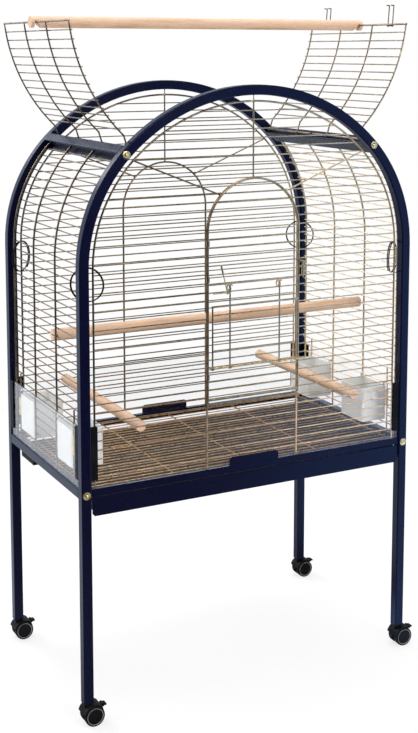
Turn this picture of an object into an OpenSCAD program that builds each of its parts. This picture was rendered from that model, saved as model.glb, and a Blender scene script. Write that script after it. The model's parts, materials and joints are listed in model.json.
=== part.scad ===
/* [Frame] */
// Overall width across the posts
frame_w = 930; // [820:1:1000]
// Overall depth across the posts
frame_d = 535; // [490:1:580]
// Side of the square steel tube
tube = 25; // [22:0.5:28]
// Wall of the tube
tube_wall = 1.5; // [1.2:0.1:2.5]
// Corner radius of the tube
tube_round = 3; // [2:0.5:5]
// Height of the post foot above the floor
foot_z = 60; // [56:1:70]
// Height where the posts start to bend
spring_z = 1104; // [1040:1:1180]
// Outer radius of the shoulder bend
side_r = 395; // [360:1:420]
// Angle of the roof beams above the spring line
beam_angle = 45; // [42:0.5:48]
// Top of the rails, on which the panels stand
deck_z = 585; // [540:1:640]
// Gap left for loose fits between parts of the frame
seat_gap = 0.3; // [0.2:0.05:0.5]
// Radial clearance of turning fits
run_gap = 0.06; // [0.03:0.01:0.09]
// Gap left where a wire lies on another
weld_gap = 0.05; // [0.03:0.01:0.1]
// Step of the tube where two bends lap
seam_step = 0.04; // [0.03:0.01:0.1]
// Angle over which two bends lap
bend_lap = 0.5; // [0.3:0.1:0.8]
// Overrun of every cut
cut = 1; // [0.5:0.1:2]

/* [Wires] */
// Thickness of rim wires
rim_d = 5; // [4:0.5:6]
// Thickness of spokes and bars
bar_d = 4; // [3.5:0.1:4.8]
// Thickness of the cross wires
row_d = 3; // [2.5:0.1:3.4]
// Spacing of the cross wires
row_pitch = 22; // [20:0.5:25]
// Distance from the tube to the outer wire of a panel
panel_inset = 15; // [12:0.5:20]
// Distance of the front panel behind the front face
panel_back = 15.5; // [14.5:0.5:18]
// Spacing of the upright wires of a side panel
side_pitch = 152; // [140:1:160]

/* [Door] */
// Half width of the door arch
door_r = 128; // [110:1:140]
// Height of the door arch's spring line
door_spring_z = 1172; // [1150:1:1200]
// Lower edge of the swinging door
door_low_z = 752; // [745:0.5:760]
// Distance of the door in front of the panel
door_front = 5.8; // [5.6:0.1:7]
// Lengths of the hinge eyes
eye_len = 13; // [10:0.5:16]
// Wall of the hinge eyes
eye_wall = 1.8; // [1.4:0.1:2.4]
// Height of the hatch rod
hatch_z = 838; // [832:0.5:844]
// Height of the hatch frame
hatch_h = 153; // [140:1:160]
// Half width of the hatch frame
hatch_half = 118; // [100:1:122]
// Half distance of the hatch uprights
hatch_upright = 70; // [50:1:80]
// Thickness of the hatch rod
hatch_rod_d = 6; // [5:0.5:8]
// Reach of the hatch rod past the right leg
hatch_rod_over = 18; // [10:1:25]
// Distance of the latch pin from the door leg
latch_off = 8; // [7:0.5:12]
// Length of the latch grip
grip_len = 28; // [20:1:34]
// Thickness of the latch grip
grip_d = 8; // [6:0.5:9]
// Length of the hatch lever
lever_len = 70; // [60:1:80]
// Length of the hatch lever's finger
finger_len = 39; // [37:0.5:42]
// Lean of the hatch lever
lever_lean = 14; // [8:1:20]

/* [Roof] */
// Radius of the closed roof flap
flap_r = 440; // [420:1:460]
// Drop of the closed flap below the top of the arch
flap_drop = 22; // [18:1:30]
// Half gap between the closed flaps
flap_half_gap = 22; // [18:0.5:26]
// Angle of the flap's foot from the middle
flap_foot_angle = 42.3; // [41:0.1:43]
// Opening angle of the flaps
flap_open = 94; // [90:1:98]
// Distance of the hinge rod above the beam
hinge_rise = 5.5; // [5.4:0.1:6.5]
// Shift of the hinge rod to the inner side of the beam
hinge_shift = 4; // [2:0.5:6]
// Width of a hinge saddle
saddle_w = 6; // [5:0.5:8]
// Height of the pale lip below the beam
lip_h = 14; // [10:1:18]
// Half width of a roof hook
hook_half = 10; // [8:0.5:14]
// Overlap of a roof hook past the other flap
hook_over = 6; // [5:0.5:8]
// Slope of the notch in the top perch
notch_slope = 37; // [35:0.5:42]
// Width of the notch in the top perch
notch_w = 6; // [5.6:0.1:7]

/* [Perches and cups] */
// Thickness of the long perches
perch_d = 28; // [24:0.5:32]
// Thickness of the low perches
low_perch_d = 26; // [22:0.5:30]
// Reach of the top perch past the flap wire
perch_over = 12; // [6:0.5:14]
// Reach of a perch end past its wire
perch_grip = 4.5; // [3:0.5:6]
// Distance of the low perches from the middle
low_perch_x = 305; // [280:1:330]
// Distance of the long perch in front of the middle
long_perch_y = 50; // [40:1:64]
// Row that carries the long perch
long_perch_row = 15; // [13:1:17]
// Row that carries the low perches
low_perch_row = 6; // [6:1:7]
// Distance of the cups from the middle
cup_y = 134; // [130:0.5:138]
// Width of a cup
cup_w = 108; // [96:1:112]
// Depth of a cup
cup_deep = 80; // [60:1:90]
// Height of a cup
cup_h = 92; // [80:1:100]
// Wall of a cup
cup_wall = 2.5; // [2:0.1:3]
// Corner radius of a cup
cup_round = 10; // [6:0.5:14]
// Reach of a cup outside the cross wires
cup_out = 5; // [4:0.5:6]
// Height of a cup's floor above the first row
cup_rise = 9; // [6:0.5:10]
// Length of a brass sleeve
sleeve_len = 48; // [40:1:56]
// Thickness of a brass sleeve
sleeve_d = 8; // [6:0.5:9]

/* [Base] */
// Height of the front and rear rails
rail_h = 18; // [15:0.5:22]
// Depth of the front and rear rails
rail_deep = 16; // [13:0.5:18]
// Distance of the rails behind the face of the posts
rail_back = 4.5; // [3:0.5:6]
// Half width of the raised tab
tab_half = 70; // [55:1:85]
// Height of the raised tab
tab_h = 22; // [16:1:28]
// Corner radius of the raised tab
tab_round = 9; // [5:0.5:12]
// Thickness of a clear guard
guard_t = 3; // [2.5:0.1:4]
// Height of a clear guard
guard_h = 150; // [130:1:155]
// Distance of a side guard behind the face of the posts
guard_back = 3; // [2.5:0.1:4]
// Width of a guard channel
channel_w = 18; // [14:0.5:20]
// Wall of a guard channel
channel_wall = 2.4; // [2:0.1:2.6]
// Gap below a guard channel
channel_low = 20; // [14:1:26]
// Length of a guard channel
channel_h = 129; // [110:1:130]
// Sheet of the tray and runners
sheet = 1.5; // [1.2:0.1:2]
// Width of a runner lip
lip_w = 13; // [11:0.5:15]
// Height of the runner channel
runner_h = 17.5; // [16:0.5:20]
// Drop of the runner below the deck
runner_drop = 29; // [27:0.5:31]
// Height of the drawer front
drawer_h = 46; // [40:1:52]
// Gap between rail and drawer front
drawer_gap = 2; // [1.5:0.1:3]
// Chamfer of the drawer front's lower corners
drawer_cut = 6; // [3:0.5:9]
// Gap between the drawer and the posts
drawer_side = 3; // [2:0.5:4]
// Depth of the tray below its rim
tray_deep = 36; // [30:1:38]
// Distance of the tray from its runners
tray_side = 16; // [15:0.5:18]
// Distance of the tray's back from the rear face
tray_rear = 27; // [25:1:32]
// Spacing of the grate wires
grate_pitch = 20; // [16:0.5:24]
// Spacing of the grate's cross bars
grate_bar_pitch = 205; // [190:1:212]
// Length of a stop block under a side rail
block_len = 92; // [70:1:110]
// Height of a stop block
block_h = 13; // [9:0.5:16]
// Distance of a stop block behind the middle
block_y = 120; // [100:1:150]

/* [Fasteners and rings] */
// Head of a frame bolt
bolt_head_d = 12; // [10:0.5:14]
// Height of a bolt head
bolt_head_h = 3.2; // [2.5:0.1:4]
// Shank of a frame bolt
bolt_d = 6; // [5:0.5:8]
// Distance of a roof bolt below the middle of its beam
bolt_drop = 6; // [5:0.5:7]
// Length of a bolt shank
bolt_len = 44; // [36:1:50]
// Radius of a corner ring
ring_r = 40; // [39.5:0.1:40.5]
// Wire of a corner ring
ring_d = 3.2; // [3:0.1:3.3]
// Pitch of a corner ring's turns
ring_pitch = 3.9; // [3.8:0.1:4]
// Distance of a ring inside the two panel wires
ring_inset = 10; // [9.8:0.1:10.2]
// Row on which a ring hangs
ring_row = 22; // [20:1:22]
// Drop of a ring's middle below its row
ring_drop = 0.5; // [0.3:0.1:0.7]

/* [Casters] */
// Diameter of a wheel
wheel_d = 50; // [46:0.5:52]
// Width of a wheel
wheel_w = 14; // [11:0.5:16]
// Thickness of the web between the wheels
web_t = 10; // [8:0.5:12]
// Trail of the wheels behind the stem
trail = 12.5; // [11:0.5:15]
// Diameter of the stem
stem_d = 11; // [9:0.5:12]
// Length of the stem
stem_len = 28; // [22:1:34]
// Diameter of the axle
axle_d = 6; // [5:0.5:8]
// Gap around the wheels
wheel_gap = 1.5; // [1:0.1:2]
// Thickness of the hood over the wheels
hood_t = 2.5; // [2:0.1:3]
// Flange of a leg plug
plug_flange = 3; // [2:0.5:4]
// Flange of a caster
caster_flange = 4; // [3:0.5:5]
// Radius of the caster flange
flange_r = 11; // [9:0.5:12]
// Radius of the brake eye
brake_eye = 4.2; // [3.6:0.1:4.4]
// Pin of the brake
brake_pin_d = 4; // [3:0.5:5]
// Reach of the brake tab
brake_reach = 9.5; // [8:0.5:12]
// Thickness of the brake tab
brake_t = 4; // [3:0.5:5]
// Cheek of the brake lever
cheek_t = 3; // [2.5:0.1:4]

/* [Hidden] */
$fn = 64;
half_w = frame_w / 2;
half_d = frame_d / 2;
post_x = half_w - tube / 2;
post_y = half_d - tube / 2;
inner_x = half_w - tube;
inner_y = half_d - tube;
side_cx = half_w - side_r;
top_r = side_r + side_cx / cos(beam_angle);
top_cz = spring_z - (top_r - side_r) * sin(beam_angle);
apex_z = top_cz + top_r;
beam_x = side_cx + (side_r - tube / 2) * cos(beam_angle);
beam_z = spring_z + (side_r - tube / 2) * sin(beam_angle);
bolt_x = beam_x + bolt_drop * sin(beam_angle);
bolt_z = beam_z - bolt_drop * cos(beam_angle);
panel_y = half_d - panel_back;
rim_cut = tube + panel_inset;
row_off = (rim_d + row_d) / 2 + weld_gap;
row_count = floor((apex_z - rim_cut - rim_d - deck_z) / row_pitch);
rise_len = spring_z - deck_z;
side_mid_r = side_r - tube / 2;
side_end = beam_angle - (tube / 2 + seat_gap) / side_mid_r * 180 / PI;
side_rows = floor((rise_len + side_mid_r * (side_end - 1) * PI / 180) / row_pitch);
side_half = 1.5 * side_pitch;
row_half = side_half + rim_d / 2;
door_y = panel_y + door_front;
rod_y = door_y + (rim_d + hatch_rod_d) / 2 + weld_gap;
hatch_eye = hatch_rod_d / 2 + run_gap + eye_wall;
leg_eye = rim_d / 2 + run_gap + eye_wall;
sill_row = 7;
door_first_row = 8;
hatch_low_row = floor((hatch_z - deck_z) / row_pitch);
hatch_top_row = ceil((hatch_z + hatch_h + rim_d - deck_z) / row_pitch);
hook_row = hatch_top_row + 1;
door_last_row = floor((door_spring_z + door_r - rim_d - deck_z) / row_pitch);
latch_row = hook_row + 3;
latch_x = door_r + latch_off;
latch_z = deck_z + latch_row * row_pitch - row_pitch / 4;
latch_y = door_y + rim_d / 2 + grip_d / 2 + latch_off / 4;
lever_x = hatch_upright + bar_d * 3;
lever_z = deck_z + hook_row * row_pitch;
lever_y = rod_y + bar_d + row_d;
hinge_x = beam_x - (tube / 2 + hinge_rise) * sin(beam_angle) - hinge_shift * cos(beam_angle);
hinge_z = beam_z + (tube / 2 + hinge_rise) * cos(beam_angle) - hinge_shift * sin(beam_angle);
flap_cz = apex_z - flap_drop - flap_r;
flap_tip_angle = asin(flap_half_gap / flap_r);
tip_dx = hinge_x - flap_half_gap;
tip_dz = flap_cz + flap_r * cos(flap_tip_angle) - hinge_z;
open_tip_x = hinge_x - tip_dx * cos(flap_open) + tip_dz * sin(flap_open);
open_tip_z = hinge_z + tip_dx * sin(flap_open) + tip_dz * cos(flap_open);
flap_step = row_pitch / flap_r * 180 / PI;
flap_rows = floor((flap_foot_angle - flap_tip_angle) / flap_step);
flap_row_r = flap_r - (bar_d + row_d) / 2 - weld_gap;
flap_eye = rim_d / 2 + run_gap + eye_wall;
hook_rise = (rim_d + row_d) / 2 + 1.5 * seat_gap;
bead_d = bar_d * 1.25;
rail_front = half_d - rail_back;
guard_y = rail_front - sheet - seat_gap - guard_t / 2;
guard_x = half_w - guard_back - guard_t / 2;
guard_low = deck_z + seat_gap;
slot = guard_t + 2 * seat_gap;
runner_z = deck_z - runner_drop;
runner_x = inner_x - sheet;
tray_half = inner_x - tray_side;
tray_rim_z = runner_z + sheet + seat_gap;
tray_front = rail_front - sheet;
tray_back = half_d - tray_rear;
drawer_top = deck_z - rail_h - drawer_gap;
grate_bar_z = runner_z + runner_h + rim_d / 2 + weld_gap;
grate_top = grate_bar_z + (rim_d + row_d) / 2 + weld_gap;
grate_x = runner_x - lip_w / 2;
grate_n = floor((2 * inner_y - 4 * rim_d) / grate_pitch);
axle_z = wheel_d / 2;
hood_in = wheel_d / 2 + wheel_gap;
hood_r = hood_in + hood_t;
wheel_y = web_t / 2 + wheel_gap / 2 + wheel_w / 2;
hood_half = wheel_y + wheel_w / 2 + wheel_gap / 2;
caster_top = foot_z - plug_flange - seat_gap;
brake_r = wheel_d / 2 + brake_eye + wheel_gap;
brake_angle = 38;
plug_len = stem_len + plug_flange;
ring_steps = 24;
ring_sides = 6;
ring_turns = 1.9;

// Height of a cross wire above the floor
function row_z(k) = deck_z + k * row_pitch;

// Half width of an arch that lies inside the tube's outer edge
function arch_half(z, inset) =
  z < spring_z ? half_w - inset
  : z < spring_z + (side_r - inset) * sin(beam_angle)
    ? side_cx + sqrt(pow(side_r - inset, 2) - pow(z - spring_z, 2))
    : sqrt(pow(top_r - inset, 2) - pow(z - top_cz, 2));

// Half width of the door arch
function door_half(z) =
  z < door_spring_z ? door_r
  : z < door_spring_z + door_r ? sqrt(pow(door_r, 2) - pow(z - door_spring_z, 2)) : 0;

// Straight wire between two points
module wire(a, b, d) {
  v = b - a;
  translate(a)
    rotate([0, acos(v[2] / norm(v)), atan2(v[1], v[0])])
      cylinder(h = norm(v), d = d);
}

// Bend in the upright plane across the cage
module bend(cx, cz, r, from, to) {
  translate([cx, 0, cz])
    rotate([90, 0, 0])
      rotate([0, 0, from])
        rotate_extrude(angle = to - from)
          translate([r, 0])
            children();
}

// Both sides of the cage
module both() {
  children();
  mirror([1, 0, 0])
    children();
}

// All four corners of the cage
module corners() {
  both()
    children();
  mirror([0, 1, 0])
    both()
      children();
}

// Square with rounded corners
module rounded(w, h, r) {
  square([w - 2 * r, h], center = true);
  square([w, h - 2 * r], center = true);
  for (x = [-1, 1])
    for (y = [-1, 1])
      translate([x * (w / 2 - r), y * (h / 2 - r)])
        circle(r = r);
}

// Section of the square tube, thinner by a step where it laps another bend
module tube_section(step = 0) {
  outer = tube - 2 * step;
  inner = tube - 2 * tube_wall + 2 * step;
  difference() {
    rounded(outer, outer, tube_round - step);
    rounded(inner, inner, tube_round - tube_wall + step);
  }
}

// Arched frame of square tube with its bolt holes
module arch() {
  difference() {
    union() {
      both() {
        translate([post_x, 0, foot_z])
          linear_extrude(height = spring_z - foot_z)
            tube_section();
        bend(side_cx, spring_z, side_r - tube / 2, 0, beam_angle)
          tube_section();
      }
      bend(0, top_cz, top_r - tube / 2, beam_angle - bend_lap, 180 - beam_angle + bend_lap)
        tube_section(seam_step);
    }
    both() {
      translate([post_x, tube / 2 + cut, deck_z - tube / 2])
        rotate([90, 0, 0])
          cylinder(h = tube + 2 * cut, d = bolt_d + 2 * weld_gap);
      translate([bolt_x, tube / 2 + cut, bolt_z])
        rotate([90, 0, 0])
          cylinder(h = tube + 2 * cut, d = bolt_d + 2 * weld_gap);
    }
  }
}

module front_arch() color("#1b1f3d")
  translate([0, -post_y, 0])
    arch();

module rear_arch() color("#1b1f3d")
  translate([0, post_y, 0])
    arch();

// Roof beam on the right with its hinge saddles and lip
module beam() {
  saddle_top = tube / 2 + hinge_rise;
  translate([beam_x, inner_y, beam_z])
    rotate([90, 0, 0])
      rotate([0, 0, beam_angle])
        difference() {
          union() {
            linear_extrude(height = 2 * inner_y)
              tube_section();
            translate([-tube / 2 + tube_wall, -tube / 2 - lip_h, 0])
              cube([sheet, lip_h + tube_wall, 2 * inner_y]);
            for (z = [cut, inner_y - saddle_w / 2, 2 * inner_y - saddle_w - cut])
              translate([-hinge_shift, 0, z]) {
                translate([-flap_eye, tube / 2 - tube_wall, 0])
                  cube([2 * flap_eye, hinge_rise + tube_wall, saddle_w]);
                translate([0, saddle_top, 0])
                  cylinder(h = saddle_w, r = flap_eye);
              }
          }
          translate([-hinge_shift, saddle_top, -cut])
            cylinder(h = 2 * inner_y + 2 * cut, d = rim_d + 2 * weld_gap);
        }
}

module right_beam() color("#22284a")
  beam();

module left_beam() color("#22284a")
  mirror([1, 0, 0])
    beam();

// Rod on which a roof flap turns
module hinge_rod() {
  wire([hinge_x, -inner_y + cut, hinge_z], [hinge_x, inner_y - cut, hinge_z], rim_d);
}

module right_hinge_rod() color("#8a7340")
  hinge_rod();

module left_hinge_rod() color("#8a7340")
  mirror([1, 0, 0])
    hinge_rod();

// Side rail of square tube between the posts
module side_rail() {
  translate([post_x, inner_y, deck_z - tube / 2])
    rotate([90, 0, 0])
      linear_extrude(height = 2 * inner_y)
        tube_section();
}

module right_side_rail() color("#22284a")
  side_rail();

module left_side_rail() color("#22284a")
  mirror([1, 0, 0])
    side_rail();

// Front rail with its raised tab
module cross_rail() {
  low = deck_z - rail_h;
  difference() {
    translate([-inner_x, -rail_front, low])
      cube([2 * inner_x, rail_deep, rail_h]);
    translate([-inner_x - cut, -rail_front + sheet, low + sheet])
      cube([2 * inner_x + 2 * cut, rail_deep - 2 * sheet, rail_h - 2 * sheet]);
  }
  translate([0, -rail_front + sheet, deck_z - sheet])
    rotate([90, 0, 0])
      linear_extrude(height = sheet) {
        translate([-tab_half, 0])
          square([2 * tab_half, tab_h + sheet - tab_round]);
        translate([-tab_half + tab_round, 0])
          square([2 * tab_half - 2 * tab_round, tab_h + sheet]);
        for (x = [-1, 1])
          translate([x * (tab_half - tab_round), tab_h + sheet - tab_round])
            circle(r = tab_round);
      }
}

module front_rail() color("#1b1f3d")
  cross_rail();

module rear_rail() color("#1b1f3d")
  mirror([0, 1, 0])
    cross_rail();

// Plastic plugs that hold the caster stems in the posts
module leg_plugs() color("#141414")
  corners()
    translate([post_x, post_y, foot_z])
      difference() {
        union() {
          translate([0, 0, -plug_flange])
            linear_extrude(height = plug_flange)
              rounded(tube, tube, tube_round);
          linear_extrude(height = plug_len - plug_flange)
            rounded(tube - 2 * tube_wall - 2 * weld_gap, tube - 2 * tube_wall - 2 * weld_gap, tube_round);
        }
        translate([0, 0, -plug_flange - cut])
          cylinder(h = plug_len - sheet, d = stem_d + 2 * run_gap);
      }

// Round headed bolt that points to the rear
module bolt() {
  head_r = bolt_head_d / 2;
  ball_r = (head_r * head_r + bolt_head_h * bolt_head_h) / (2 * bolt_head_h);
  rotate([90, 0, 0]) {
    intersection() {
      translate([0, 0, bolt_head_h - ball_r])
        sphere(r = ball_r);
      cylinder(h = bolt_head_h + cut, r = bolt_head_d);
    }
    translate([0, 0, -bolt_len])
      cylinder(h = bolt_len + bolt_head_h / 2, d = bolt_d);
  }
}

module frame_bolts() color("#b99a55")
  corners() {
    translate([post_x, -half_d, deck_z - tube / 2])
      bolt();
    translate([bolt_x, -half_d, bolt_z])
      bolt();
  }

// Points of one section of a corner ring
function ring_section(i) =
  let (a = 360 * i / ring_steps)
  [for (j = [0 : ring_sides - 1])
    let (b = 360 * j / ring_sides, r = ring_r + ring_d / 2 * cos(b))
    [r * cos(a), r * sin(a), ring_pitch * (i / ring_steps - ring_turns / 2) + ring_d / 2 * sin(b)]];

// Double wound ring as one swept tube
module ring() {
  n = floor(ring_turns * ring_steps);
  sections = [for (i = [0 : n]) ring_section(i)];
  points = [for (s = sections) each s];
  sides = [for (i = [0 : n - 1]) for (j = [0 : ring_sides - 1])
    let (k = (j + 1) % ring_sides, p = i * ring_sides, q = p + ring_sides)
    each [[p + j, q + j, q + k], [p + j, q + k, p + k]]];
  first = [for (j = [1 : ring_sides - 2]) [0, j, j + 1]];
  last = [for (j = [1 : ring_sides - 2]) [n * ring_sides, n * ring_sides + j + 1, n * ring_sides + j]];
  least = min([for (i = [0 : n - ring_steps]) for (p = sections[i])
    min([for (q = sections[i + ring_steps]) norm(p - q)])]);
  echo(ring_least_gap = least);
  polyhedron(points = points, faces = concat(sides, first, last), convexity = 6);
}

// Rings that tie the front and side panels together
module corner_rings() color("#111111") {
  front_x = half_w - rim_cut;
  across = [post_x - front_x, panel_y - side_half];
  away = norm(across);
  inward = [-across[1], -across[0]] / away;
  mid = [(post_x + front_x) / 2, (panel_y + side_half) / 2] + inward * ring_inset;
  corners()
    translate([mid[0], mid[1], row_z(ring_row) - ring_drop])
      rotate([0, 0, atan2(inward[1], inward[0])])
        rotate([0, 90, 0])
          ring();
}

// Rim wires and spokes of the front and rear panels
module panel_rims() {
  outer_x = half_w - rim_cut;
  spoke_z = spring_z + (side_r - rim_cut) * sin(beam_angle);
  spoke_x = side_cx + (side_r - rim_cut) * cos(beam_angle);
  door_top = door_spring_z + door_r;
  union() {
    both() {
      wire([outer_x, 0, deck_z], [outer_x, 0, spring_z], rim_d);
      wire([door_r, 0, deck_z], [door_r, 0, door_spring_z], rim_d);
    }
    bend(side_cx, spring_z, side_r - rim_cut, 0, beam_angle)
      circle(d = rim_d);
    bend(-side_cx, spring_z, side_r - rim_cut, 180 - beam_angle, 180)
      circle(d = rim_d);
    bend(0, top_cz, top_r - rim_cut, beam_angle, 180 - beam_angle)
      circle(d = rim_d);
    bend(0, door_spring_z, door_r, 0, 180)
      circle(d = rim_d);
    wire([0, 0, door_top], [0, 0, apex_z - rim_cut], bar_d);
    wire([0, 0, apex_z - rim_cut], [0, 0, apex_z - tube - seat_gap], bar_d - row_d / 2);
    both()
      wire([door_r * sin(beam_angle), 0, door_spring_z + door_r * cos(beam_angle)],
           [spoke_x, 0, spoke_z], bar_d);
    wire([-door_r, 0, row_z(sill_row) + bar_d], [door_r, 0, row_z(sill_row) + bar_d], bar_d);
  }
}

// Cross wire of a panel from one point across to another
module row(from, to, y, z) {
  wire([from, y, z], [to, y, z], row_d);
}

// Front panel with the eyes of the door hinge and the pin of the latch
module front_panel() color("#b08d46") {
  pin_front = latch_y + bar_d;
  translate([0, -panel_y, 0]) {
    difference() {
      union() {
        panel_rims();
        for (k = [door_first_row + 2, hook_row + 1, door_last_row - 7])
          translate([-door_r, -door_front, row_z(k) + (row_pitch - eye_len) / 2])
            cylinder(h = eye_len, r = leg_eye);
        wire([door_r, 0, latch_z], [latch_x, 0, latch_z], row_d);
        wire([latch_x, row_d, latch_z], [latch_x, panel_y - pin_front, latch_z], bar_d);
        wire([latch_x, panel_y - pin_front, latch_z],
             [latch_x, panel_y - pin_front - sheet, latch_z], bar_d + row_d);
      }
      translate([-door_r, -door_front, door_low_z])
        cylinder(h = door_spring_z - door_low_z, d = rim_d + 2 * run_gap);
    }
    for (k = [1 : row_count]) {
      z = row_z(k);
      gap = k > sill_row ? door_half(z) : 0;
      if (gap > 0)
        both()
          row(gap, arch_half(z, rim_cut), row_off, z);
      else
        row(-arch_half(z, rim_cut), arch_half(z, rim_cut), row_off, z);
    }
  }
}

module rear_panel() color("#b08d46")
  translate([0, panel_y, 0]) {
    panel_rims();
    for (k = [1 : row_count])
      row(-arch_half(row_z(k), rim_cut), arch_half(row_z(k), rim_cut), -row_off, row_z(k));
  }

// Cross wire of a side panel at a height or on the bend
module side_row(k, from, to) {
  along = k * row_pitch - rise_len;
  a = along > 0 ? along / side_mid_r * 180 / PI : 0;
  r = side_mid_r - row_off;
  x = along > 0 ? side_cx + r * cos(a) : post_x - row_off;
  z = along > 0 ? spring_z + r * sin(a) : row_z(k);
  wire([x, from, z], [x, to, z], row_d);
}

// Side panel on the right with openings for two cups
module side_panel() {
  rod_y = cup_y + cup_w / 2 + bar_d;
  for (y = [-1.5, -0.5, 0.5, 1.5])
    translate([0, y * side_pitch, 0])
      union() {
        wire([post_x, 0, deck_z], [post_x, 0, spring_z], rim_d);
        bend(side_cx, spring_z, side_mid_r, 0, side_end)
          circle(d = rim_d);
      }
  for (y = [-1, 1])
    wire([post_x, y * rod_y, deck_z], [post_x, y * rod_y, row_z(sill_row) + row_pitch], bar_d);
  for (k = [1 : side_rows])
    if (k > 1 && k < low_perch_row) {
      side_row(k, -side_pitch / 2 - rim_d / 2, side_pitch / 2 + rim_d / 2);
      side_row(k, rod_y + sleeve_d / 2 + cut, row_half);
      side_row(k, -row_half, -rod_y - sleeve_d / 2 - cut);
    }
    else
      side_row(k, -row_half, row_half);
}

module right_panel() color("#b08d46")
  side_panel();

module left_panel() color("#b08d46")
  mirror([1, 0, 0])
    side_panel();

// Brass sleeves on the rods beside the cups
module feeder_sleeves() color("#c9a550")
  corners()
    translate([post_x, cup_y + cup_w / 2 + bar_d, row_z(2) + row_pitch])
      difference() {
        cylinder(h = sleeve_len, d = sleeve_d);
        translate([0, 0, -cut])
          cylinder(h = sleeve_len + 2 * cut, d = bar_d + 2 * weld_gap);
      }

// Food cup at the rear right with two hooks over a cross wire
module cup() {
  out_x = post_x - row_off + cup_out + row_d / 2;
  low = row_z(1) + cup_rise;
  hook_z = row_z(low_perch_row);
  wire_x = post_x - row_off;
  in_x = row_d / 2 + seat_gap;
  translate([out_x - cup_deep / 2, cup_y, low])
    difference() {
      linear_extrude(height = cup_h)
        rounded(cup_deep, cup_w, cup_round);
      translate([0, 0, cup_wall])
        linear_extrude(height = cup_h)
          rounded(cup_deep - 2 * cup_wall, cup_w - 2 * cup_wall, cup_round - cup_wall);
    }
  for (y = [-1, 1])
    translate([wire_x, cup_y + y * (cup_w / 2 - cup_wall / 2) + cup_wall / 2, hook_z])
      rotate([90, 0, 0])
        linear_extrude(height = cup_wall) {
          translate([-in_x - cup_wall * 2, low + cup_h - hook_z - cup_round])
            square([cup_wall * 2, hook_z - low - cup_h + cup_round + in_x + cup_wall]);
          translate([-in_x - cup_wall, in_x])
            square([2 * in_x + 2 * cup_wall, cup_wall]);
          translate([in_x, -row_d / 2])
            square([cup_wall, row_d / 2 + in_x + cup_wall]);
        }
}

module cup_rear_right() color("#f2f2ee")
  cup();

module cup_front_right() color("#f2f2ee")
  mirror([0, 1, 0])
    cup();

module cup_rear_left() color("#f2f2ee")
  mirror([1, 0, 0])
    cup();

module cup_front_left() color("#f2f2ee")
  mirror([0, 1, 0])
    mirror([1, 0, 0])
      cup();

// Clear guards that stand on the rails outside the wires
module guard_across() {
  half = inner_x - channel_wall - seat_gap;
  translate([-half, -guard_y - guard_t / 2, guard_low])
    cube([2 * half, guard_t, guard_h]);
}

module front_guard() color("#dfe9ec", 0.4)
  guard_across();

module rear_guard() color("#dfe9ec", 0.4)
  mirror([0, 1, 0])
    guard_across();

module guard_along() {
  half = inner_y - channel_wall - seat_gap;
  translate([guard_x - guard_t / 2, -half, guard_low])
    cube([guard_t, 2 * half, guard_h]);
}

module right_guard() color("#dfe9ec", 0.4)
  guard_along();

module left_guard() color("#dfe9ec", 0.4)
  mirror([1, 0, 0])
    guard_along();

// Channel that opens along the first axis
module channel() {
  wide = slot + 2 * channel_wall;
  linear_extrude(height = channel_h)
    difference() {
      translate([0, -wide / 2])
        square([channel_w, wide]);
      translate([channel_wall, -slot / 2])
        square([channel_w, slot]);
    }
}

// Black channels that hold the ends of the guards at the posts
module guard_channels() color("#151515")
  corners() {
    translate([-inner_x, -guard_y, deck_z + channel_low])
      channel();
    translate([-guard_x, -inner_y, deck_z + channel_low])
      rotate([0, 0, 90])
        channel();
  }

// Runner on the right with lips for the tray and the grate
module runner() {
  translate([runner_x, -inner_y, runner_z])
    cube([sheet, 2 * inner_y, runner_h]);
  for (z = [0, runner_h - sheet])
    translate([runner_x - lip_w, -inner_y, runner_z + z])
      cube([lip_w + sheet, 2 * inner_y, sheet]);
  translate([inner_x + drawer_gap, block_y - block_len / 2, deck_z - tube - block_h])
    cube([tube - 2 * drawer_gap, block_len, block_h]);
}

module drawer_runners() color("#2a2e45")
  both()
    runner();

// Wire grate above the tray
module floor_grate() color("#b08d46") {
  end_y = (grate_n + 0.5) * grate_pitch / 2;
  both()
    wire([grate_x, -end_y, grate_bar_z], [grate_x, end_y, grate_bar_z], rim_d);
  for (i = [-1 : 1])
    wire([i * grate_bar_pitch, -end_y, grate_top - (bar_d + row_d) / 2 - weld_gap],
         [i * grate_bar_pitch, end_y, grate_top - (bar_d + row_d) / 2 - weld_gap], bar_d);
  for (i = [0 : grate_n])
    wire([-grate_x - rim_d / 2, (i - grate_n / 2) * grate_pitch, grate_top],
         [grate_x + rim_d / 2, (i - grate_n / 2) * grate_pitch, grate_top], row_d);
}

// Wooden rod along the first axis with slotted ends
module perch(half, d) {
  deep = 2 * perch_grip + row_d / 2;
  difference() {
    translate([-half, 0, 0])
      rotate([0, 90, 0])
        cylinder(h = 2 * half, d = d);
    both()
      translate([half - deep, -d, -row_d / 2 - seat_gap])
        cube([deep + cut, 2 * d, row_d + 2 * seat_gap]);
  }
}

module long_perch() color("#dcc39a")
  translate([0, -long_perch_y, row_z(long_perch_row)])
    perch(post_x - row_off + perch_grip, perch_d);

module right_perch() color("#dcc39a")
  translate([low_perch_x, 0, row_z(low_perch_row)])
    rotate([0, 0, 90])
      perch(panel_y - row_off + perch_grip, low_perch_d);

module left_perch() color("#dcc39a")
  mirror([1, 0, 0])
    translate([low_perch_x, 0, row_z(low_perch_row)])
      rotate([0, 0, 90])
        perch(panel_y - row_off + perch_grip, low_perch_d);

// Notch from below with a sloping inner side
module notch(s) {
  low = -perch_d;
  out = notch_w / 2;
  lean = notch_w / 2 / cos(notch_slope) + perch_d * tan(notch_slope);
  translate([s * open_tip_x, perch_d, open_tip_z])
    rotate([90, 0, 0])
      linear_extrude(height = 2 * perch_d)
        polygon([[s * out, out], [s * out, low], [-s * lean, low],
          [-s * out * cos(notch_slope), out * sin(notch_slope)], [0, out]]);
}

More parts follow.
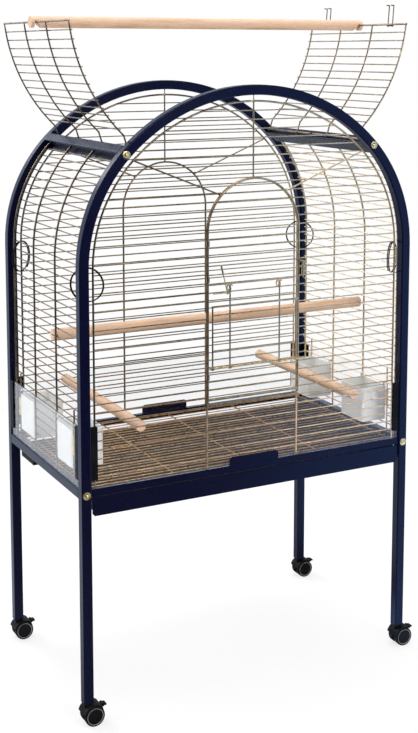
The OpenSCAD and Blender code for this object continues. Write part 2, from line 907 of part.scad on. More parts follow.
// Top perch whose notches sit on the tips of the open flaps
module play_perch() color("#dcc39a")
  difference() {
    translate([-open_tip_x - perch_over, 0, open_tip_z])
      rotate([0, 90, 0])
        cylinder(h = 2 * (open_tip_x + perch_over), d = perch_d);
    notch(1);
    notch(-1);
  }

// Places a closed right flap in its open position
module opened() {
  translate([hinge_x, 0, hinge_z])
    rotate([0, flap_open, 0])
      translate([-hinge_x, 0, -hinge_z])
        children();
}

// Roof flap on the right in its closed position
module flap() {
  foot = [flap_r * sin(flap_foot_angle), 0, flap_cz + flap_r * cos(flap_foot_angle)];
  pin = [hinge_x, 0, hinge_z];
  leg = (foot - pin) / norm(foot - pin);
  tip_x = flap_r * sin(flap_tip_angle);
  tip_z = flap_cz + flap_r * cos(flap_tip_angle);
  difference() {
    union() {
      for (y = [-1.5, -0.5, 0.5, 1.5])
        translate([0, y * side_pitch, 0]) {
          wire(pin + leg * (flap_eye - eye_wall / 2), foot, bar_d);
          translate(foot)
            sphere(d = bead_d);
          bend(0, flap_cz, flap_r, 90 - flap_foot_angle, 90 - flap_tip_angle)
            circle(d = bar_d);
          wire(pin - [0, saddle_w / 2, 0], pin + [0, saddle_w / 2, 0], 2 * flap_eye);
        }
      wire([tip_x, -row_half, tip_z], [tip_x, row_half, tip_z], rim_d);
    }
    wire(pin - [0, half_d, 0], pin + [0, half_d, 0], rim_d + 2 * run_gap);
  }
  for (i = [1 : flap_rows]) {
    a = flap_tip_angle + i * flap_step;
    wire([flap_row_r * sin(a), -row_half, flap_cz + flap_row_r * cos(a)],
         [flap_row_r * sin(a), row_half, flap_cz + flap_row_r * cos(a)], row_d);
  }
}

module right_flap() color("#b08d46")
  opened()
    flap();

module left_flap() color("#b08d46")
  mirror([1, 0, 0])
    opened()
      flap();

// Double hooks on the right flap that catch the left flap
module flap_hooks() color("#b08d46")
  opened() {
    tip_x = flap_r * sin(flap_tip_angle);
    top_z = flap_cz + flap_r * cos(flap_tip_angle) + hook_rise;
    end_x = -tip_x - hook_over;
    for (y = [-side_pitch, side_pitch])
      translate([0, y, 0])
        union() {
          for (s = [-hook_half, hook_half]) {
            wire([tip_x + hook_over, s, top_z], [end_x, s, top_z], row_d);
            wire([end_x, s, top_z], [end_x, s, top_z - 2 * hook_rise], row_d);
            translate([end_x, s, top_z])
              sphere(d = row_d * 1.25);
          }
          wire([tip_x + hook_over / 2, -hook_half - row_d, top_z],
               [tip_x + hook_over / 2, hook_half + row_d, top_z], row_d * 1.2);
        }
  }

// Swinging door in front of the panel's door arch
module main_door() color("#b08d46")
  translate([0, -door_y, 0]) {
    union() {
      both()
        wire([door_r, 0, door_low_z], [door_r, 0, door_spring_z], rim_d);
      bend(0, door_spring_z, door_r, 0, 180)
        circle(d = rim_d);
      wire([-door_r, 0, door_low_z + rim_d], [door_r, 0, door_low_z + rim_d], bar_d);
      for (k = [door_first_row : door_last_row])
        if (k <= hatch_low_row || k >= hatch_top_row)
          row(-door_half(row_z(k)), door_half(row_z(k)), 0, row_z(k));
      wire([-lever_x, 0, lever_z], [-lever_x, door_y - lever_y - row_d, lever_z], row_d * 1.1);
      wire([-lever_x, door_y - lever_y - row_d, lever_z],
           [-lever_x, door_y - lever_y - row_d - sheet, lever_z], row_d * 2);
    }
  }

// Turning grip that locks the door
module door_latch() color("#c9a550")
  translate([latch_x, -latch_y, latch_z])
    difference() {
      union() {
        wire([0, bar_d / 2, 0], [0, -bar_d / 2, 0], bar_d + 2 * eye_wall);
        wire([0, 0, -bar_d / 2 - eye_wall / 2], [0, 0, -grip_len - 3 * bar_d], row_d);
        wire([0, 0, -2 * bar_d], [0, 0, -grip_len - 2 * bar_d], grip_d);
      }
      wire([0, bar_d, 0], [0, -bar_d, 0], bar_d + 2 * run_gap);
    }

// Hatch that drops forward on the brass rod
module hatch() color("#b08d46")
  translate([0, -rod_y, hatch_z]) {
    hook_z = lever_z + (row_d + bar_d) / 2 + 2 * seat_gap - hatch_z;
    difference() {
      union() {
        both() {
          wire([hatch_half, 0, hatch_eye - eye_wall / 2], [hatch_half, 0, hatch_h], bar_d);
          wire([hatch_upright, 0, hatch_eye - eye_wall / 2], [hatch_upright, 0, hook_z], bar_d);
          translate([hatch_upright, 0, hook_z])
            sphere(d = bead_d);
          wire([hatch_upright, 0, hook_z], [hatch_upright, rod_y - door_y + row_d, hook_z], bar_d);
          for (x = [hatch_half, hatch_upright])
            wire([x - saddle_w / 2, 0, 0], [x + saddle_w / 2, 0, 0], 2 * hatch_eye);
        }
        wire([-hatch_half - bar_d / 2, 0, hatch_h], [hatch_half + bar_d / 2, 0, hatch_h], rim_d);
        for (i = [1 : floor((hatch_h - row_d) / row_pitch)])
          row(-hatch_half, hatch_half, 0, i * row_pitch);
      }
      wire([-hatch_half - 2 * saddle_w, 0, 0], [hatch_half + 2 * saddle_w, 0, 0],
           hatch_rod_d + 2 * run_gap);
    }
  }

// Thick brass rod at the foot of the hatch
module hatch_rod() color("#c9a550")
  wire([-door_r + rim_d / 2, -rod_y, hatch_z], [door_r + hatch_rod_over, -rod_y, hatch_z], hatch_rod_d);

// Lever with a brass tip, its finger turned away from the hatch
module hatch_lever() color("#c9a550")
  translate([-lever_x, -lever_y - row_d / 2, lever_z]) {
    tip = [-lever_len * sin(lever_lean), 0, lever_len * cos(lever_lean)];
    difference() {
      union() {
        wire([0, row_d / 2, 0], [0, -row_d / 2, 0], row_d * 1.1 + 2 * eye_wall);
        wire(tip * 0.04, tip, row_d * 0.9);
        wire(tip * 0.66, tip, rim_d);
        wire([-row_d, 0, 0], [-finger_len, 0, 0], row_d * 0.9);
      }
      wire([0, row_d, 0], [0, -row_d, 0], row_d * 1.1 + 2 * run_gap);
    }
  }

// Pull out tray with side flanges that ride in the runners
module tray() color("#3a3d44") {
  low = tray_rim_z - tray_deep;
  deep = tray_front + tray_back;
  difference() {
    translate([-tray_half, -tray_front, low])
      cube([2 * tray_half, deep, tray_deep]);
    translate([-tray_half + sheet, -tray_front + sheet, low + sheet])
      cube([2 * tray_half - 2 * sheet, deep - 2 * sheet, tray_deep + cut]);
  }
  both()
    translate([tray_half - sheet, -tray_front, tray_rim_z])
      cube([runner_x - drawer_gap - tray_half + sheet, deep, sheet]);
}

// Front of the tray with a folded top edge
module drawer_front() color("#1b1f3d") {
  half = inner_x - drawer_side;
  translate([0, -rail_front + sheet, drawer_top])
    rotate([90, 0, 0])
      linear_extrude(height = 2 * sheet)
        polygon([[-half, 0], [half, 0], [half, -drawer_h + drawer_cut],
          [half - drawer_cut, -drawer_h], [-half + drawer_cut, -drawer_h],
          [-half, -drawer_h + drawer_cut]]);
}

// Stem, web and hood of a twin wheel caster
module fork() {
  brake_x = trail + brake_r * cos(brake_angle);
  brake_z = axle_z + brake_r * sin(brake_angle);
  difference() {
    union() {
      translate([0, 0, caster_top - cut])
        cylinder(h = stem_len + cut, d = stem_d);
      translate([0, 0, caster_top - caster_flange])
        cylinder(h = caster_flange, r = flange_r);
      translate([0, web_t / 2, 0])
        rotate([90, 0, 0])
          linear_extrude(height = web_t) {
            translate([trail, axle_z])
              circle(r = axle_d * 2);
            intersection() {
              translate([trail, axle_z])
                circle(r = hood_r - hood_t / 2);
              translate([-hood_r, axle_z])
                square([2 * hood_r + trail, hood_r]);
            }
            translate([-flange_r + sheet, axle_z + hood_t])
              square([2 * flange_r - 2 * sheet, caster_top - caster_flange / 2 - axle_z - hood_t]);
            translate([brake_x, brake_z])
              circle(r = brake_eye);
          }
      translate([trail, 0, axle_z])
        rotate([90, 0, 0])
          rotate([0, 0, 50])
            rotate_extrude(angle = 115)
              translate([hood_in, -hood_half])
                square([hood_t, 2 * hood_half]);
    }
    translate([trail, web_t, axle_z])
      rotate([90, 0, 0])
        cylinder(h = 2 * web_t, d = axle_d + 2 * run_gap);
    translate([brake_x, web_t, brake_z])
      rotate([90, 0, 0])
        cylinder(h = 2 * web_t, d = brake_pin_d + 2 * run_gap);
  }
}

// Two wheels pressed on their axle
module wheels() {
  groove = wheel_w / 7;
  translate([trail, 0, axle_z])
    rotate([90, 0, 0]) {
      cylinder(h = 2 * wheel_y, d = axle_d, center = true);
      for (s = [0, 1])
        mirror([0, 0, s])
          translate([0, 0, wheel_y - wheel_w / 2])
            difference() {
              rotate_extrude()
                polygon([[0, 0], [wheel_d / 2 - groove, 0], [wheel_d / 2, groove],
                  [wheel_d / 2, wheel_w - groove], [wheel_d / 2 - groove, wheel_w], [0, wheel_w]]);
              translate([0, 0, wheel_w - groove])
                difference() {
                  cylinder(h = groove + cut, d = wheel_d * 0.72);
                  translate([0, 0, -cut])
                    cylinder(h = groove + 3 * cut, d = wheel_d * 0.52);
                }
            }
    }
}

// Brake lever with two cheeks on a pin
module brake() {
  brake_x = trail + brake_r * cos(brake_angle);
  brake_z = axle_z + brake_r * sin(brake_angle);
  half = web_t / 2 + seat_gap + cheek_t;
  translate([brake_x, 0, brake_z])
    rotate([90, 0, 0]) {
      cylinder(h = 2 * half - cheek_t, d = brake_pin_d, center = true);
      for (s = [0, 1])
        mirror([0, 0, s])
          translate([0, 0, half - cheek_t])
            linear_extrude(height = cheek_t) {
              circle(r = brake_eye);
              translate([0, -brake_t / 2])
                square([brake_reach, brake_t]);
            }
      translate([brake_eye + 2 * seat_gap, -brake_t / 2, -half])
        cube([brake_reach - brake_eye - 2 * seat_gap, brake_t, 2 * half]);
    }
}

module fork_front_left() color("#141414")
  translate([-post_x, -post_y, 0])
    fork();

module fork_front_right() color("#141414")
  translate([post_x, -post_y, 0])
    fork();

module fork_rear_left() color("#141414")
  translate([-post_x, post_y, 0])
    fork();

module fork_rear_right() color("#141414")
  translate([post_x, post_y, 0])
    fork();

module wheels_front_left() color("#1c1c1c")
  translate([-post_x, -post_y, 0])
    wheels();

module wheels_front_right() color("#1c1c1c")
  translate([post_x, -post_y, 0])
    wheels();

module wheels_rear_left() color("#1c1c1c")
  translate([-post_x, post_y, 0])
    wheels();

module wheels_rear_right() color("#1c1c1c")
  translate([post_x, post_y, 0])
    wheels();

module brake_front_left() color("#202020")
  translate([-post_x, -post_y, 0])
    brake();

module brake_front_right() color("#202020")
  translate([post_x, -post_y, 0])
    brake();

module brake_rear_left() color("#202020")
  translate([-post_x, post_y, 0])
    brake();

module brake_rear_right() color("#202020")
  translate([post_x, post_y, 0])
    brake();

front_arch();
rear_arch();
left_beam();
right_beam();
left_hinge_rod();
right_hinge_rod();
left_side_rail();
right_side_rail();
front_rail();
rear_rail();
leg_plugs();
frame_bolts();
corner_rings();
front_panel();
rear_panel();
left_panel();
right_panel();
feeder_sleeves();
cup_front_left();
cup_front_right();
cup_rear_left();
cup_rear_right();
front_guard();
rear_guard();
left_guard();
right_guard();
guard_channels();
drawer_runners();
floor_grate();
long_perch();
left_perch();
right_perch();
play_perch();
left_flap();
right_flap();
flap_hooks();
main_door();
door_latch();
hatch();
hatch_rod();
hatch_lever();
tray();
drawer_front();
fork_front_left();
fork_front_right();
fork_rear_left();
fork_rear_right();
wheels_front_left();
wheels_front_right();
wheels_rear_left();
wheels_rear_right();
brake_front_left();
brake_front_right();
brake_rear_left();
brake_rear_right();
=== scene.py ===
"""Looks of the dome top parrot cage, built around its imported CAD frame."""

import json
import logging
import math
from contextlib import contextmanager
from dataclasses import dataclass, field
from enum import Enum
from functools import cache
from typing import Any, Callable, Iterator, Sequence

import bmesh
import bpy
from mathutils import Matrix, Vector

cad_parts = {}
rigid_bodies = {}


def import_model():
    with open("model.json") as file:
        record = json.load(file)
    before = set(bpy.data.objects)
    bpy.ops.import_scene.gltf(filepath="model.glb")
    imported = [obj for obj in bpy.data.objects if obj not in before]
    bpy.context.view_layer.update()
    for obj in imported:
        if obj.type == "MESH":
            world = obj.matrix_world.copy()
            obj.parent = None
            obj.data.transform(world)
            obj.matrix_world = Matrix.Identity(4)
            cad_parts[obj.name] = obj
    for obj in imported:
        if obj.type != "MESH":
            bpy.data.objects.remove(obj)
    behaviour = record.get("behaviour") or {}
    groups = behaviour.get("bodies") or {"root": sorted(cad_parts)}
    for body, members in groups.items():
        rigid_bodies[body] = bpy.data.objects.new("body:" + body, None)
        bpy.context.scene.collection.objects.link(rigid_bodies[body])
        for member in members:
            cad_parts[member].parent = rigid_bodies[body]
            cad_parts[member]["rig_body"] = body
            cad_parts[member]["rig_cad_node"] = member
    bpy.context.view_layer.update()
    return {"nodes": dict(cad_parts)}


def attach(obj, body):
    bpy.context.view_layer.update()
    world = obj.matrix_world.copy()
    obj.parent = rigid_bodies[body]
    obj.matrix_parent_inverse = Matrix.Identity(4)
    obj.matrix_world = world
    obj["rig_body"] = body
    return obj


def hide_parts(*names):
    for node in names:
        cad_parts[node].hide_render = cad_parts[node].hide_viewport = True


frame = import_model()
log = logging.getLogger("cage")

Object = bpy.types.Object
Socket = bpy.types.NodeSocket
Colour = tuple[float, float, float]
Place = tuple[float, float, float]
Span = tuple[float, float]

QUARTER = math.radians(90.0)
WHITE_LIGHT: Colour = (1.0, 1.0, 1.0)


class Slot(Enum):
    """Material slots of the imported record."""

    NAVY = "navy_coat"
    WIRE = "brass_wire"
    BRASS = "brass"
    TRAY = "tray_coat"
    BEECH = "beech"
    RING = "black_steel"
    BLACK = "black_plastic"
    WHITE = "white_plastic"
    CLEAR = "clear_acrylic"
    RUBBER = "wheel_rubber"


class Along(Enum):
    """Axis along which the grain of a piece runs, as its scale on X, Y and Z."""

    X = (0.09, 1.0, 1.0)
    Y = (1.0, 0.09, 1.0)

    @property
    def unit(self) -> Place:
        """Direction of the grain."""
        return (1.0, 0.0, 0.0) if self is Along.X else (0.0, 1.0, 0.0)


class Corner(Enum):
    """The four corners, by the sign of their place on X and on Y."""

    front_left = (-1, -1)
    front_right = (1, -1)
    rear_left = (-1, 1)
    rear_right = (1, 1)


class Paint(Enum):
    """Places of a wheel's materials."""

    TREAD = 0
    DISC = 1
    # The ring is a real raised lip, and its pale grey colour is a painted highlight on its edge.
    RING = 2


# Modelling steps


@dataclass(frozen=True)
class Cut:
    """One step cut into a turned face.

    Attributes:
        inset: Width of the step.
        depth: Height of the step.
        paint: Material of the face inside the step, or None to leave it.
    """

    inset: float
    depth: float
    paint: Paint | None = None


class Bench:
    """Hand modelling steps that every sub-assembly uses.

    Attributes:
        WELD: Distance in metres below which vertices of a CAD mesh merge.
        FLAT: Angle below which facets of a CAD mesh become one face.
        SHARP: Angle above which the edges of a copy are rounded.
        RIM: Angle above which the edges of a disc are rounded.
        FACING: Least share of a face's normal along the axis that it looks along.
        CAP_CORNERS: Corners that a disc's cap has more than.
        MOULDED: Largest angle that is shaded smooth on a copy.
        TURNED: The same on a turned piece.
        WOUND: The same on a wound piece.
    """

    WELD = 1e-6
    FLAT = math.radians(0.5)
    SHARP = math.radians(40.0)
    RIM = math.radians(60.0)
    FACING = 0.99
    CAP_CORNERS = 8
    MOULDED = math.radians(35.0)
    TURNED = math.radians(30.0)
    WOUND = math.radians(50.0)

    @staticmethod
    def only(obj: Object) -> None:
        """Select one object and make it active."""
        bpy.ops.object.select_all(action="DESELECT")
        obj.select_set(True)
        bpy.context.view_layer.objects.active = obj

    @staticmethod
    @contextmanager
    def editing(obj: Object) -> Iterator[None]:
        """Hold one object in edit mode."""
        Bench.only(obj)
        bpy.ops.object.mode_set(mode="EDIT")
        yield
        bpy.ops.object.mode_set(mode="OBJECT")

    @staticmethod
    def pick(obj: Object, kind: str, test: Callable[[Any], bool]) -> None:
        """Select faces or edges in edit mode by a test.

        Args:
            obj: The object in edit mode.
            kind: FACE or EDGE.
            test: Says whether an element is selected.
        """
        bpy.ops.mesh.select_mode(type=kind)
        bpy.ops.mesh.select_all(action="DESELECT")
        mesh = bmesh.from_edit_mesh(obj.data)
        for element in {"FACE": mesh.faces, "EDGE": mesh.edges}[kind]:
            if test(element):
                element.select_set(True)
        mesh.select_flush_mode()
        bmesh.update_edit_mesh(obj.data)

    @staticmethod
    def fix(obj: Object) -> None:
        """Put an object's place, turn and scale into its mesh."""
        Bench.only(obj)
        bpy.ops.object.transform_apply(location=True, rotation=True, scale=True)

    @staticmethod
    def settle(obj: Object, name: str, angle: float) -> Object:
        """Put an object's place into its mesh, smooth it and name it.

        Args:
            obj: The finished piece.
            name: Its new name.
            angle: Largest angle that is shaded smooth.

        Returns:
            The same object.
        """
        Bench.fix(obj)
        bpy.ops.object.shade_smooth_by_angle(angle=angle)
        obj.name = name
        obj.data.name = name
        return obj

    @staticmethod
    def modify(obj: Object, kind: str, **values: Any) -> None:
        """Add a modifier of a kind, set its values and apply it."""
        Bench.only(obj)
        bpy.ops.object.modifier_add(type=kind)
        modifier = obj.modifiers[-1]
        for key, value in values.items():
            setattr(modifier, key, value)
        bpy.ops.object.modifier_apply(modifier=modifier.name)

    @staticmethod
    def twin(source: Object) -> Object:
        """Copy an object with a mesh of its own."""
        copy = source.copy()
        copy.data = source.data.copy()
        bpy.context.scene.collection.objects.link(copy)
        return copy

    @staticmethod
    def merged(node: str, name: str, round_by: float) -> Object:
        """Copy a CAD node as one merged mesh with rounded edges.

        Args:
            node: The CAD node that the copy stands for.
            name: Name of the copy.
            round_by: Width of the edge rounding in metres.

        Returns:
            The new object, riding on the node's body.
        """
        copy = Bench.twin(frame["nodes"][node])
        body = copy["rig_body"]
        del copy["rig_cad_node"]
        copy.parent = None
        copy.data.materials.clear()
        with Bench.editing(copy):
            bpy.ops.mesh.select_all(action="SELECT")
            bpy.ops.mesh.remove_doubles(threshold=Bench.WELD)
            bpy.ops.mesh.customdata_custom_splitnormals_clear()
            bpy.ops.mesh.dissolve_limited(angle_limit=Bench.FLAT)
        Bench.modify(
            copy, "BEVEL", width=round_by, segments=2, limit_method="ANGLE",
            angle_limit=Bench.SHARP, harden_normals=False, use_clamp_overlap=True,
        )
        Bench.settle(copy, name, Bench.MOULDED)
        Bench.modify(copy, "WEIGHTED_NORMAL", keep_sharp=True)
        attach(copy, body)
        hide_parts(node)
        return copy

    @staticmethod
    def disc(radius: float, depth: float, facets: int, middle: float = 0.0) -> Object:
        """Add a cylinder along Y, with the place of its middle on Y."""
        bpy.ops.object.select_all(action="DESELECT")
        bpy.ops.mesh.primitive_cylinder_add(
            vertices=facets, radius=radius, depth=depth,
            location=(0.0, middle, 0.0), rotation=(QUARTER, 0.0, 0.0),
        )
        made = bpy.context.object
        Bench.fix(made)
        return made

    @staticmethod
    def turn(disc: Object, facing: int, rim: float, segments: int, cuts: Sequence[Cut]) -> None:
        """Round the rims of a disc and cut steps into one of its faces.

        Args:
            disc: The disc to turn.
            facing: -1 to cut the face towards the front, 1 for the one towards the rear.
            rim: Rounding of the rims.
            segments: Facets across the rounding.
            cuts: The steps from the rim inwards.
        """
        with Bench.editing(disc):
            Bench.pick(disc, "EDGE", lambda e: abs(e.calc_face_angle(0.0)) > Bench.RIM)
            bpy.ops.mesh.bevel(offset=rim, segments=segments, profile=0.5, affect="EDGES")
            Bench.pick(
                disc, "FACE",
                lambda f: f.normal.y * facing > Bench.FACING and len(f.verts) > Bench.CAP_CORNERS,
            )
            for cut in cuts:
                bpy.ops.mesh.inset(thickness=cut.inset, depth=cut.depth)
                if cut.paint is not None:
                    disc.active_material_index = cut.paint.value
                    bpy.ops.object.material_slot_assign()


@dataclass(frozen=True)
class Coil:
    """A wire wound about the Z axis.

    Attributes:
        radius: Radius of the coil at the middle of its wire.
        wire: Diameter of the wire.
        pitch: Rise of one turn.
        turns: Number of turns.
        sides: Sides of the wire's section.
        steps: Steps in one turn.
    """

    radius: float
    wire: float
    pitch: float
    turns: float
    sides: int
    steps: int

    def wind(self) -> Object:
        """Wind the wire about the origin as one tube with closed ends."""
        rise = self.pitch * self.turns
        bpy.ops.object.select_all(action="DESELECT")
        bpy.ops.mesh.primitive_circle_add(
            vertices=self.sides, radius=self.wire / 2,
            location=(self.radius, 0.0, -rise / 2), rotation=(QUARTER, 0.0, 0.0),
        )
        wound = bpy.context.object
        Bench.fix(wound)
        count = round(self.steps * self.turns)
        Bench.modify(
            wound, "SCREW", axis="Z", angle=math.radians(360.0 * self.turns), screw_offset=rise,
            steps=count, render_steps=count, use_merge_vertices=False,
        )
        with Bench.editing(wound):
            bpy.ops.mesh.select_all(action="SELECT")
            bpy.ops.mesh.fill_holes(sides=0)
            bpy.ops.mesh.normals_make_consistent(inside=False)
        return wound


# Shader helpers and shared effects


class Shader:
    """A node tree that is filled by short calls."""

    def __init__(self, tree: bpy.types.NodeTree) -> None:
        """Take the tree to fill."""
        self.tree = tree

    @classmethod
    def of(cls, owner: bpy.types.Material | bpy.types.World) -> "Shader":
        """Start the emptied tree of a material or a world."""
        owner.use_nodes = True
        owner.node_tree.nodes.clear()
        return cls(owner.node_tree)

    def node(
        self, kind: str, values: dict[Any, Any] | None = None, **props: Any
    ) -> bpy.types.Node:
        """Add a node.

        Args:
            kind: Short node type, without its ShaderNode prefix.
            values: Input socket to default value or to an output socket.
            **props: Settings of the node itself.

        Returns:
            The new node.
        """
        made = self.tree.nodes.new("ShaderNode" + kind)
        for key, value in props.items():
            setattr(made, key, value)
        for key, value in (values or {}).items():
            if isinstance(value, Socket):
                self.tree.links.new(value, made.inputs[key])
            else:
                made.inputs[key].default_value = value
        return made

    def group(self, group: bpy.types.NodeTree, values: dict[str, float]) -> bpy.types.Node:
        """Place a shared effect with its own input values."""
        made = self.node("Group")
        made.node_tree = group
        for key, value in values.items():
            made.inputs[key].default_value = value
        return made

    def place(self) -> Socket:
        """Place on the object."""
        return self.node("TexCoord").outputs["Object"]

    def noise(self, place: Socket, scale: Any, detail: float, distortion: float = 0.0) -> Socket:
        """Cloudy value at a place, with a scale in clouds per metre."""
        values = {"Vector": place, "Scale": scale, "Detail": detail, "Distortion": distortion}
        return self.node("TexNoise", values).outputs[0]

    def calc(self, operation: str, first: Any, second: Any = 0.0, clamp: bool = False) -> Socket:
        """Work out a number from one or two others."""
        made = self.node("Math", {0: first, 1: second}, operation=operation, use_clamp=clamp)
        return made.outputs[0]

    def dot(self, first: Any, second: Any) -> Socket:
        """Share of one direction along another."""
        made = self.node("VectorMath", {0: first, 1: second}, operation="DOT_PRODUCT")
        return made.outputs["Value"]

    def remap(self, value: Socket, source: Span, target: Sequence[Any] = (0.0, 1.0)) -> Socket:
        """Map a range of values onto another, which may hold sockets, and clamp to it."""
        values = {0: value, 1: source[0], 2: source[1], 3: target[0], 4: target[1]}
        return self.node("MapRange", values).outputs[0]

    def ramp(self, value: Socket, stops: Sequence[tuple[float, Colour]]) -> Socket:
        """Turn a value into a colour.

        Args:
            value: The value that picks the colour.
            stops: Position and colour of each stop.

        Returns:
            The colour socket.
        """
        made = self.node("ValToRGB", {"Fac": value})
        ramp = made.color_ramp
        while len(ramp.elements) < len(stops):
            ramp.elements.new(1.0)
        for element, (position, colour) in zip(ramp.elements, stops):
            element.position = position
            element.color = (*colour, 1.0)
        return made.outputs["Color"]

    def blend(self, share: Socket, first: Any, second: Any) -> Socket:
        """Mix two numbers by the share of the second."""
        return self.node("Mix", {0: share, 2: first, 3: second}).outputs[0]

    def mix(self, share: Socket, first: Any, second: Any) -> Socket:
        """Mix two colours, values or sockets, by the share of the second."""
        pair = [c if isinstance(c, Socket) else (*c, 1.0) for c in (first, second)]
        made = self.node("Mix", data_type="RGBA")
        for place, value in zip((0, 6, 7), (share, *pair)):
            if isinstance(value, Socket):
                self.tree.links.new(value, made.inputs[place])
            else:
                made.inputs[place].default_value = value
        return made.outputs[2]

    def bump(self, height: Socket, strength: float, distance: float) -> Socket:
        """Turn a height into a normal, with the distance in metres."""
        values = {"Height": height, "Strength": strength, "Distance": distance}
        return self.node("Bump", values).outputs["Normal"]


class Effects:
    """Shader groups that several finishes share, each built once.

    Attributes:
        CLOUD: Range of the noise that a mottle spreads.
        SPECK: Range of the noise that becomes a speck.
        UPWARD: Range of a normal's Z on which dust lies.
    """

    CLOUD: Span = (0.33, 0.67)
    SPECK: Span = (0.52, 0.72)
    UPWARD: Span = (0.35, 1.0)

    @staticmethod
    def start(
        name: str, inputs: dict[str, float], outputs: Sequence[str]
    ) -> tuple[Shader, Any, Any]:
        """Begin a group with its named sockets.

        Args:
            name: The group's name.
            inputs: Input name to default value.
            outputs: Names of its output values.

        Returns:
            The group's shader helper, its input sockets and its output node's sockets.
        """
        tree = bpy.data.node_groups.new(name, "ShaderNodeTree")
        for key, value in inputs.items():
            socket = tree.interface.new_socket(
                key, in_out="INPUT", socket_type="NodeSocketFloat"
            )
            socket.default_value = value
        for key in outputs:
            tree.interface.new_socket(key, in_out="OUTPUT", socket_type="NodeSocketFloat")
        given = tree.nodes.new("NodeGroupInput").outputs
        return Shader(tree), given, tree.nodes.new("NodeGroupOutput").inputs

    @staticmethod
    @cache
    def mottle() -> bpy.types.NodeTree:
        """Cloudy value between a low and a high limit, for roughness and tarnish."""
        shader, given, out = Effects.start(
            "Mottle", {"Scale": 10.0, "Low": 0.0, "High": 1.0}, ["Value"]
        )
        cloud = shader.noise(shader.place(), given["Scale"], detail=4.0)
        spread = shader.remap(cloud, Effects.CLOUD, (given["Low"], given["High"]))
        shader.tree.links.new(spread, out["Value"])
        return shader.tree

    @staticmethod
    @cache
    def peel() -> bpy.types.NodeTree:
        """Pebbled height of a powder coat or a moulded skin, with pale specks."""
        shader, given, out = Effects.start("Peel", {"Scale": 600.0}, ["Height", "Speck"])
        place = shader.place()
        coarse = shader.noise(place, given["Scale"], detail=2.0)
        cells = shader.node(
            "TexVoronoi", {"Vector": place, "Scale": given["Scale"]}, feature="SMOOTH_F1"
        )
        height = shader.calc("ADD", coarse, cells.outputs["Distance"])
        shader.tree.links.new(height, out["Height"])
        shader.tree.links.new(shader.remap(coarse, Effects.SPECK), out["Speck"])
        return shader.tree

    @staticmethod
    @cache
    def dust() -> bpy.types.NodeTree:
        """Mask of faint dust on faces that look up."""
        shader, given, out = Effects.start("Dust", {"Scale": 40.0, "Amount": 0.3}, ["Mask"])
        normal = shader.node("NewGeometry").outputs["Normal"]
        facing = shader.node("SeparateXYZ", {0: normal}).outputs["Z"]
        cloud = shader.noise(shader.place(), given["Scale"], detail=5.0)
        patch = shader.calc("MULTIPLY", shader.remap(facing, Effects.UPWARD), cloud)
        shader.tree.links.new(shader.calc("MULTIPLY", patch, given["Amount"]), out["Mask"])
        return shader.tree


# Finishes


@dataclass(frozen=True)
class Finish:
    """Base of every finish.

    Attributes:
        name: The material's name.
    """

    name: str

    def material(self) -> bpy.types.Material:
        """Build the material once and return it."""
        known = bpy.data.materials.get(self.name)
        if known:
            return known
        made = bpy.data.materials.new(self.name)
        shader = Shader.of(made)
        surface = self.surface(shader)
        shader.node("OutputMaterial", {"Surface": surface.outputs[0]})
        return made

    def surface(self, shader: Shader) -> bpy.types.Node:
        """Fill the tree and return its surface shader."""
        raise NotImplementedError

    def put_on(self, obj: Object) -> None:
        """Dress an object with this finish.

        Args:
            obj: The object to dress.
        """
        obj.data.materials.clear()
        obj.data.materials.append(self.material())

    @staticmethod
    def cloudy(shader: Shader, scale: float, limits: Span) -> Socket:
        """Place the shared cloudy value between two limits."""
        values = {"Scale": scale, "Low": limits[0], "High": limits[1]}
        return shader.group(Effects.mottle(), values).outputs["Value"]


@dataclass(frozen=True)
class Skin(Finish):
    """Base of the finishes with a grained skin and a little dust.

    Attributes:
        colour: Main colour.
        second: Colour that specks or clouds it.
        roughness: Lowest and highest roughness.
        clouds: Clouds of roughness per metre.
        grain: Grains of the skin per metre.
        relief: Strength of the grains.
        depth: Depth of the grains in metres.
        shine: Strength of its reflection.
        tint: Colour of its reflection.
        dust: Amount of dust on faces that look up.
        dust_scale: Patches of dust per metre.
        dust_colour: Colour of the dust.
    """

    colour: Colour = (0.004, 0.004, 0.0045)
    second: Colour = (0.008, 0.008, 0.0085)
    roughness: Span = (0.38, 0.5)
    clouds: float = 60.0
    grain: float = 1400.0
    relief: float = 0.2
    depth: float = 0.0001
    shine: float = 0.07
    tint: Colour = WHITE_LIGHT
    dust: float = 0.015
    dust_scale: float = 70.0
    dust_colour: Colour = (0.42, 0.40, 0.37)

    def surface(self, shader: Shader) -> bpy.types.Node:
        """Fill the tree and return its surface shader."""
        skin = shader.group(Effects.peel(), {"Scale": self.grain}).outputs
        dust = shader.group(Effects.dust(), {"Scale": self.dust_scale, "Amount": self.dust})
        plain = shader.mix(self.pattern(shader, skin["Speck"]), self.colour, self.second)
        return shader.node(
            "BsdfPrincipled",
            {
                "Base Color": shader.mix(dust.outputs["Mask"], plain, self.dust_colour),
                "Roughness": self.cloudy(shader, self.clouds, self.roughness),
                "Normal": shader.bump(skin["Height"], self.relief, self.depth),
                "Specular IOR Level": self.shine,
                "Specular Tint": (*self.tint, 1.0),
            },
        )

    def pattern(self, shader: Shader, speck: Socket) -> Socket:
        """Share of the second colour."""
        raise NotImplementedError


@dataclass(frozen=True)
class PowderCoat(Skin):
    """Baked powder coat with a pebbled, speckled skin."""

    colour: Colour = (0.0019, 0.0017, 0.014)
    second: Colour = (0.0045, 0.0048, 0.034)
    roughness: Span = (0.20, 0.30)
    clouds: float = 9.0
    grain: float = 420.0
    depth: float = 0.0002
    shine: float = 0.2
    tint: Colour = (0.62, 0.76, 1.0)
    dust: float = 0.008
    dust_scale: float = 55.0
    dust_colour: Colour = (0.30, 0.31, 0.33)

    def pattern(self, shader: Shader, speck: Socket) -> Socket:
        """Share of the second colour: the specks of the skin."""
        return speck


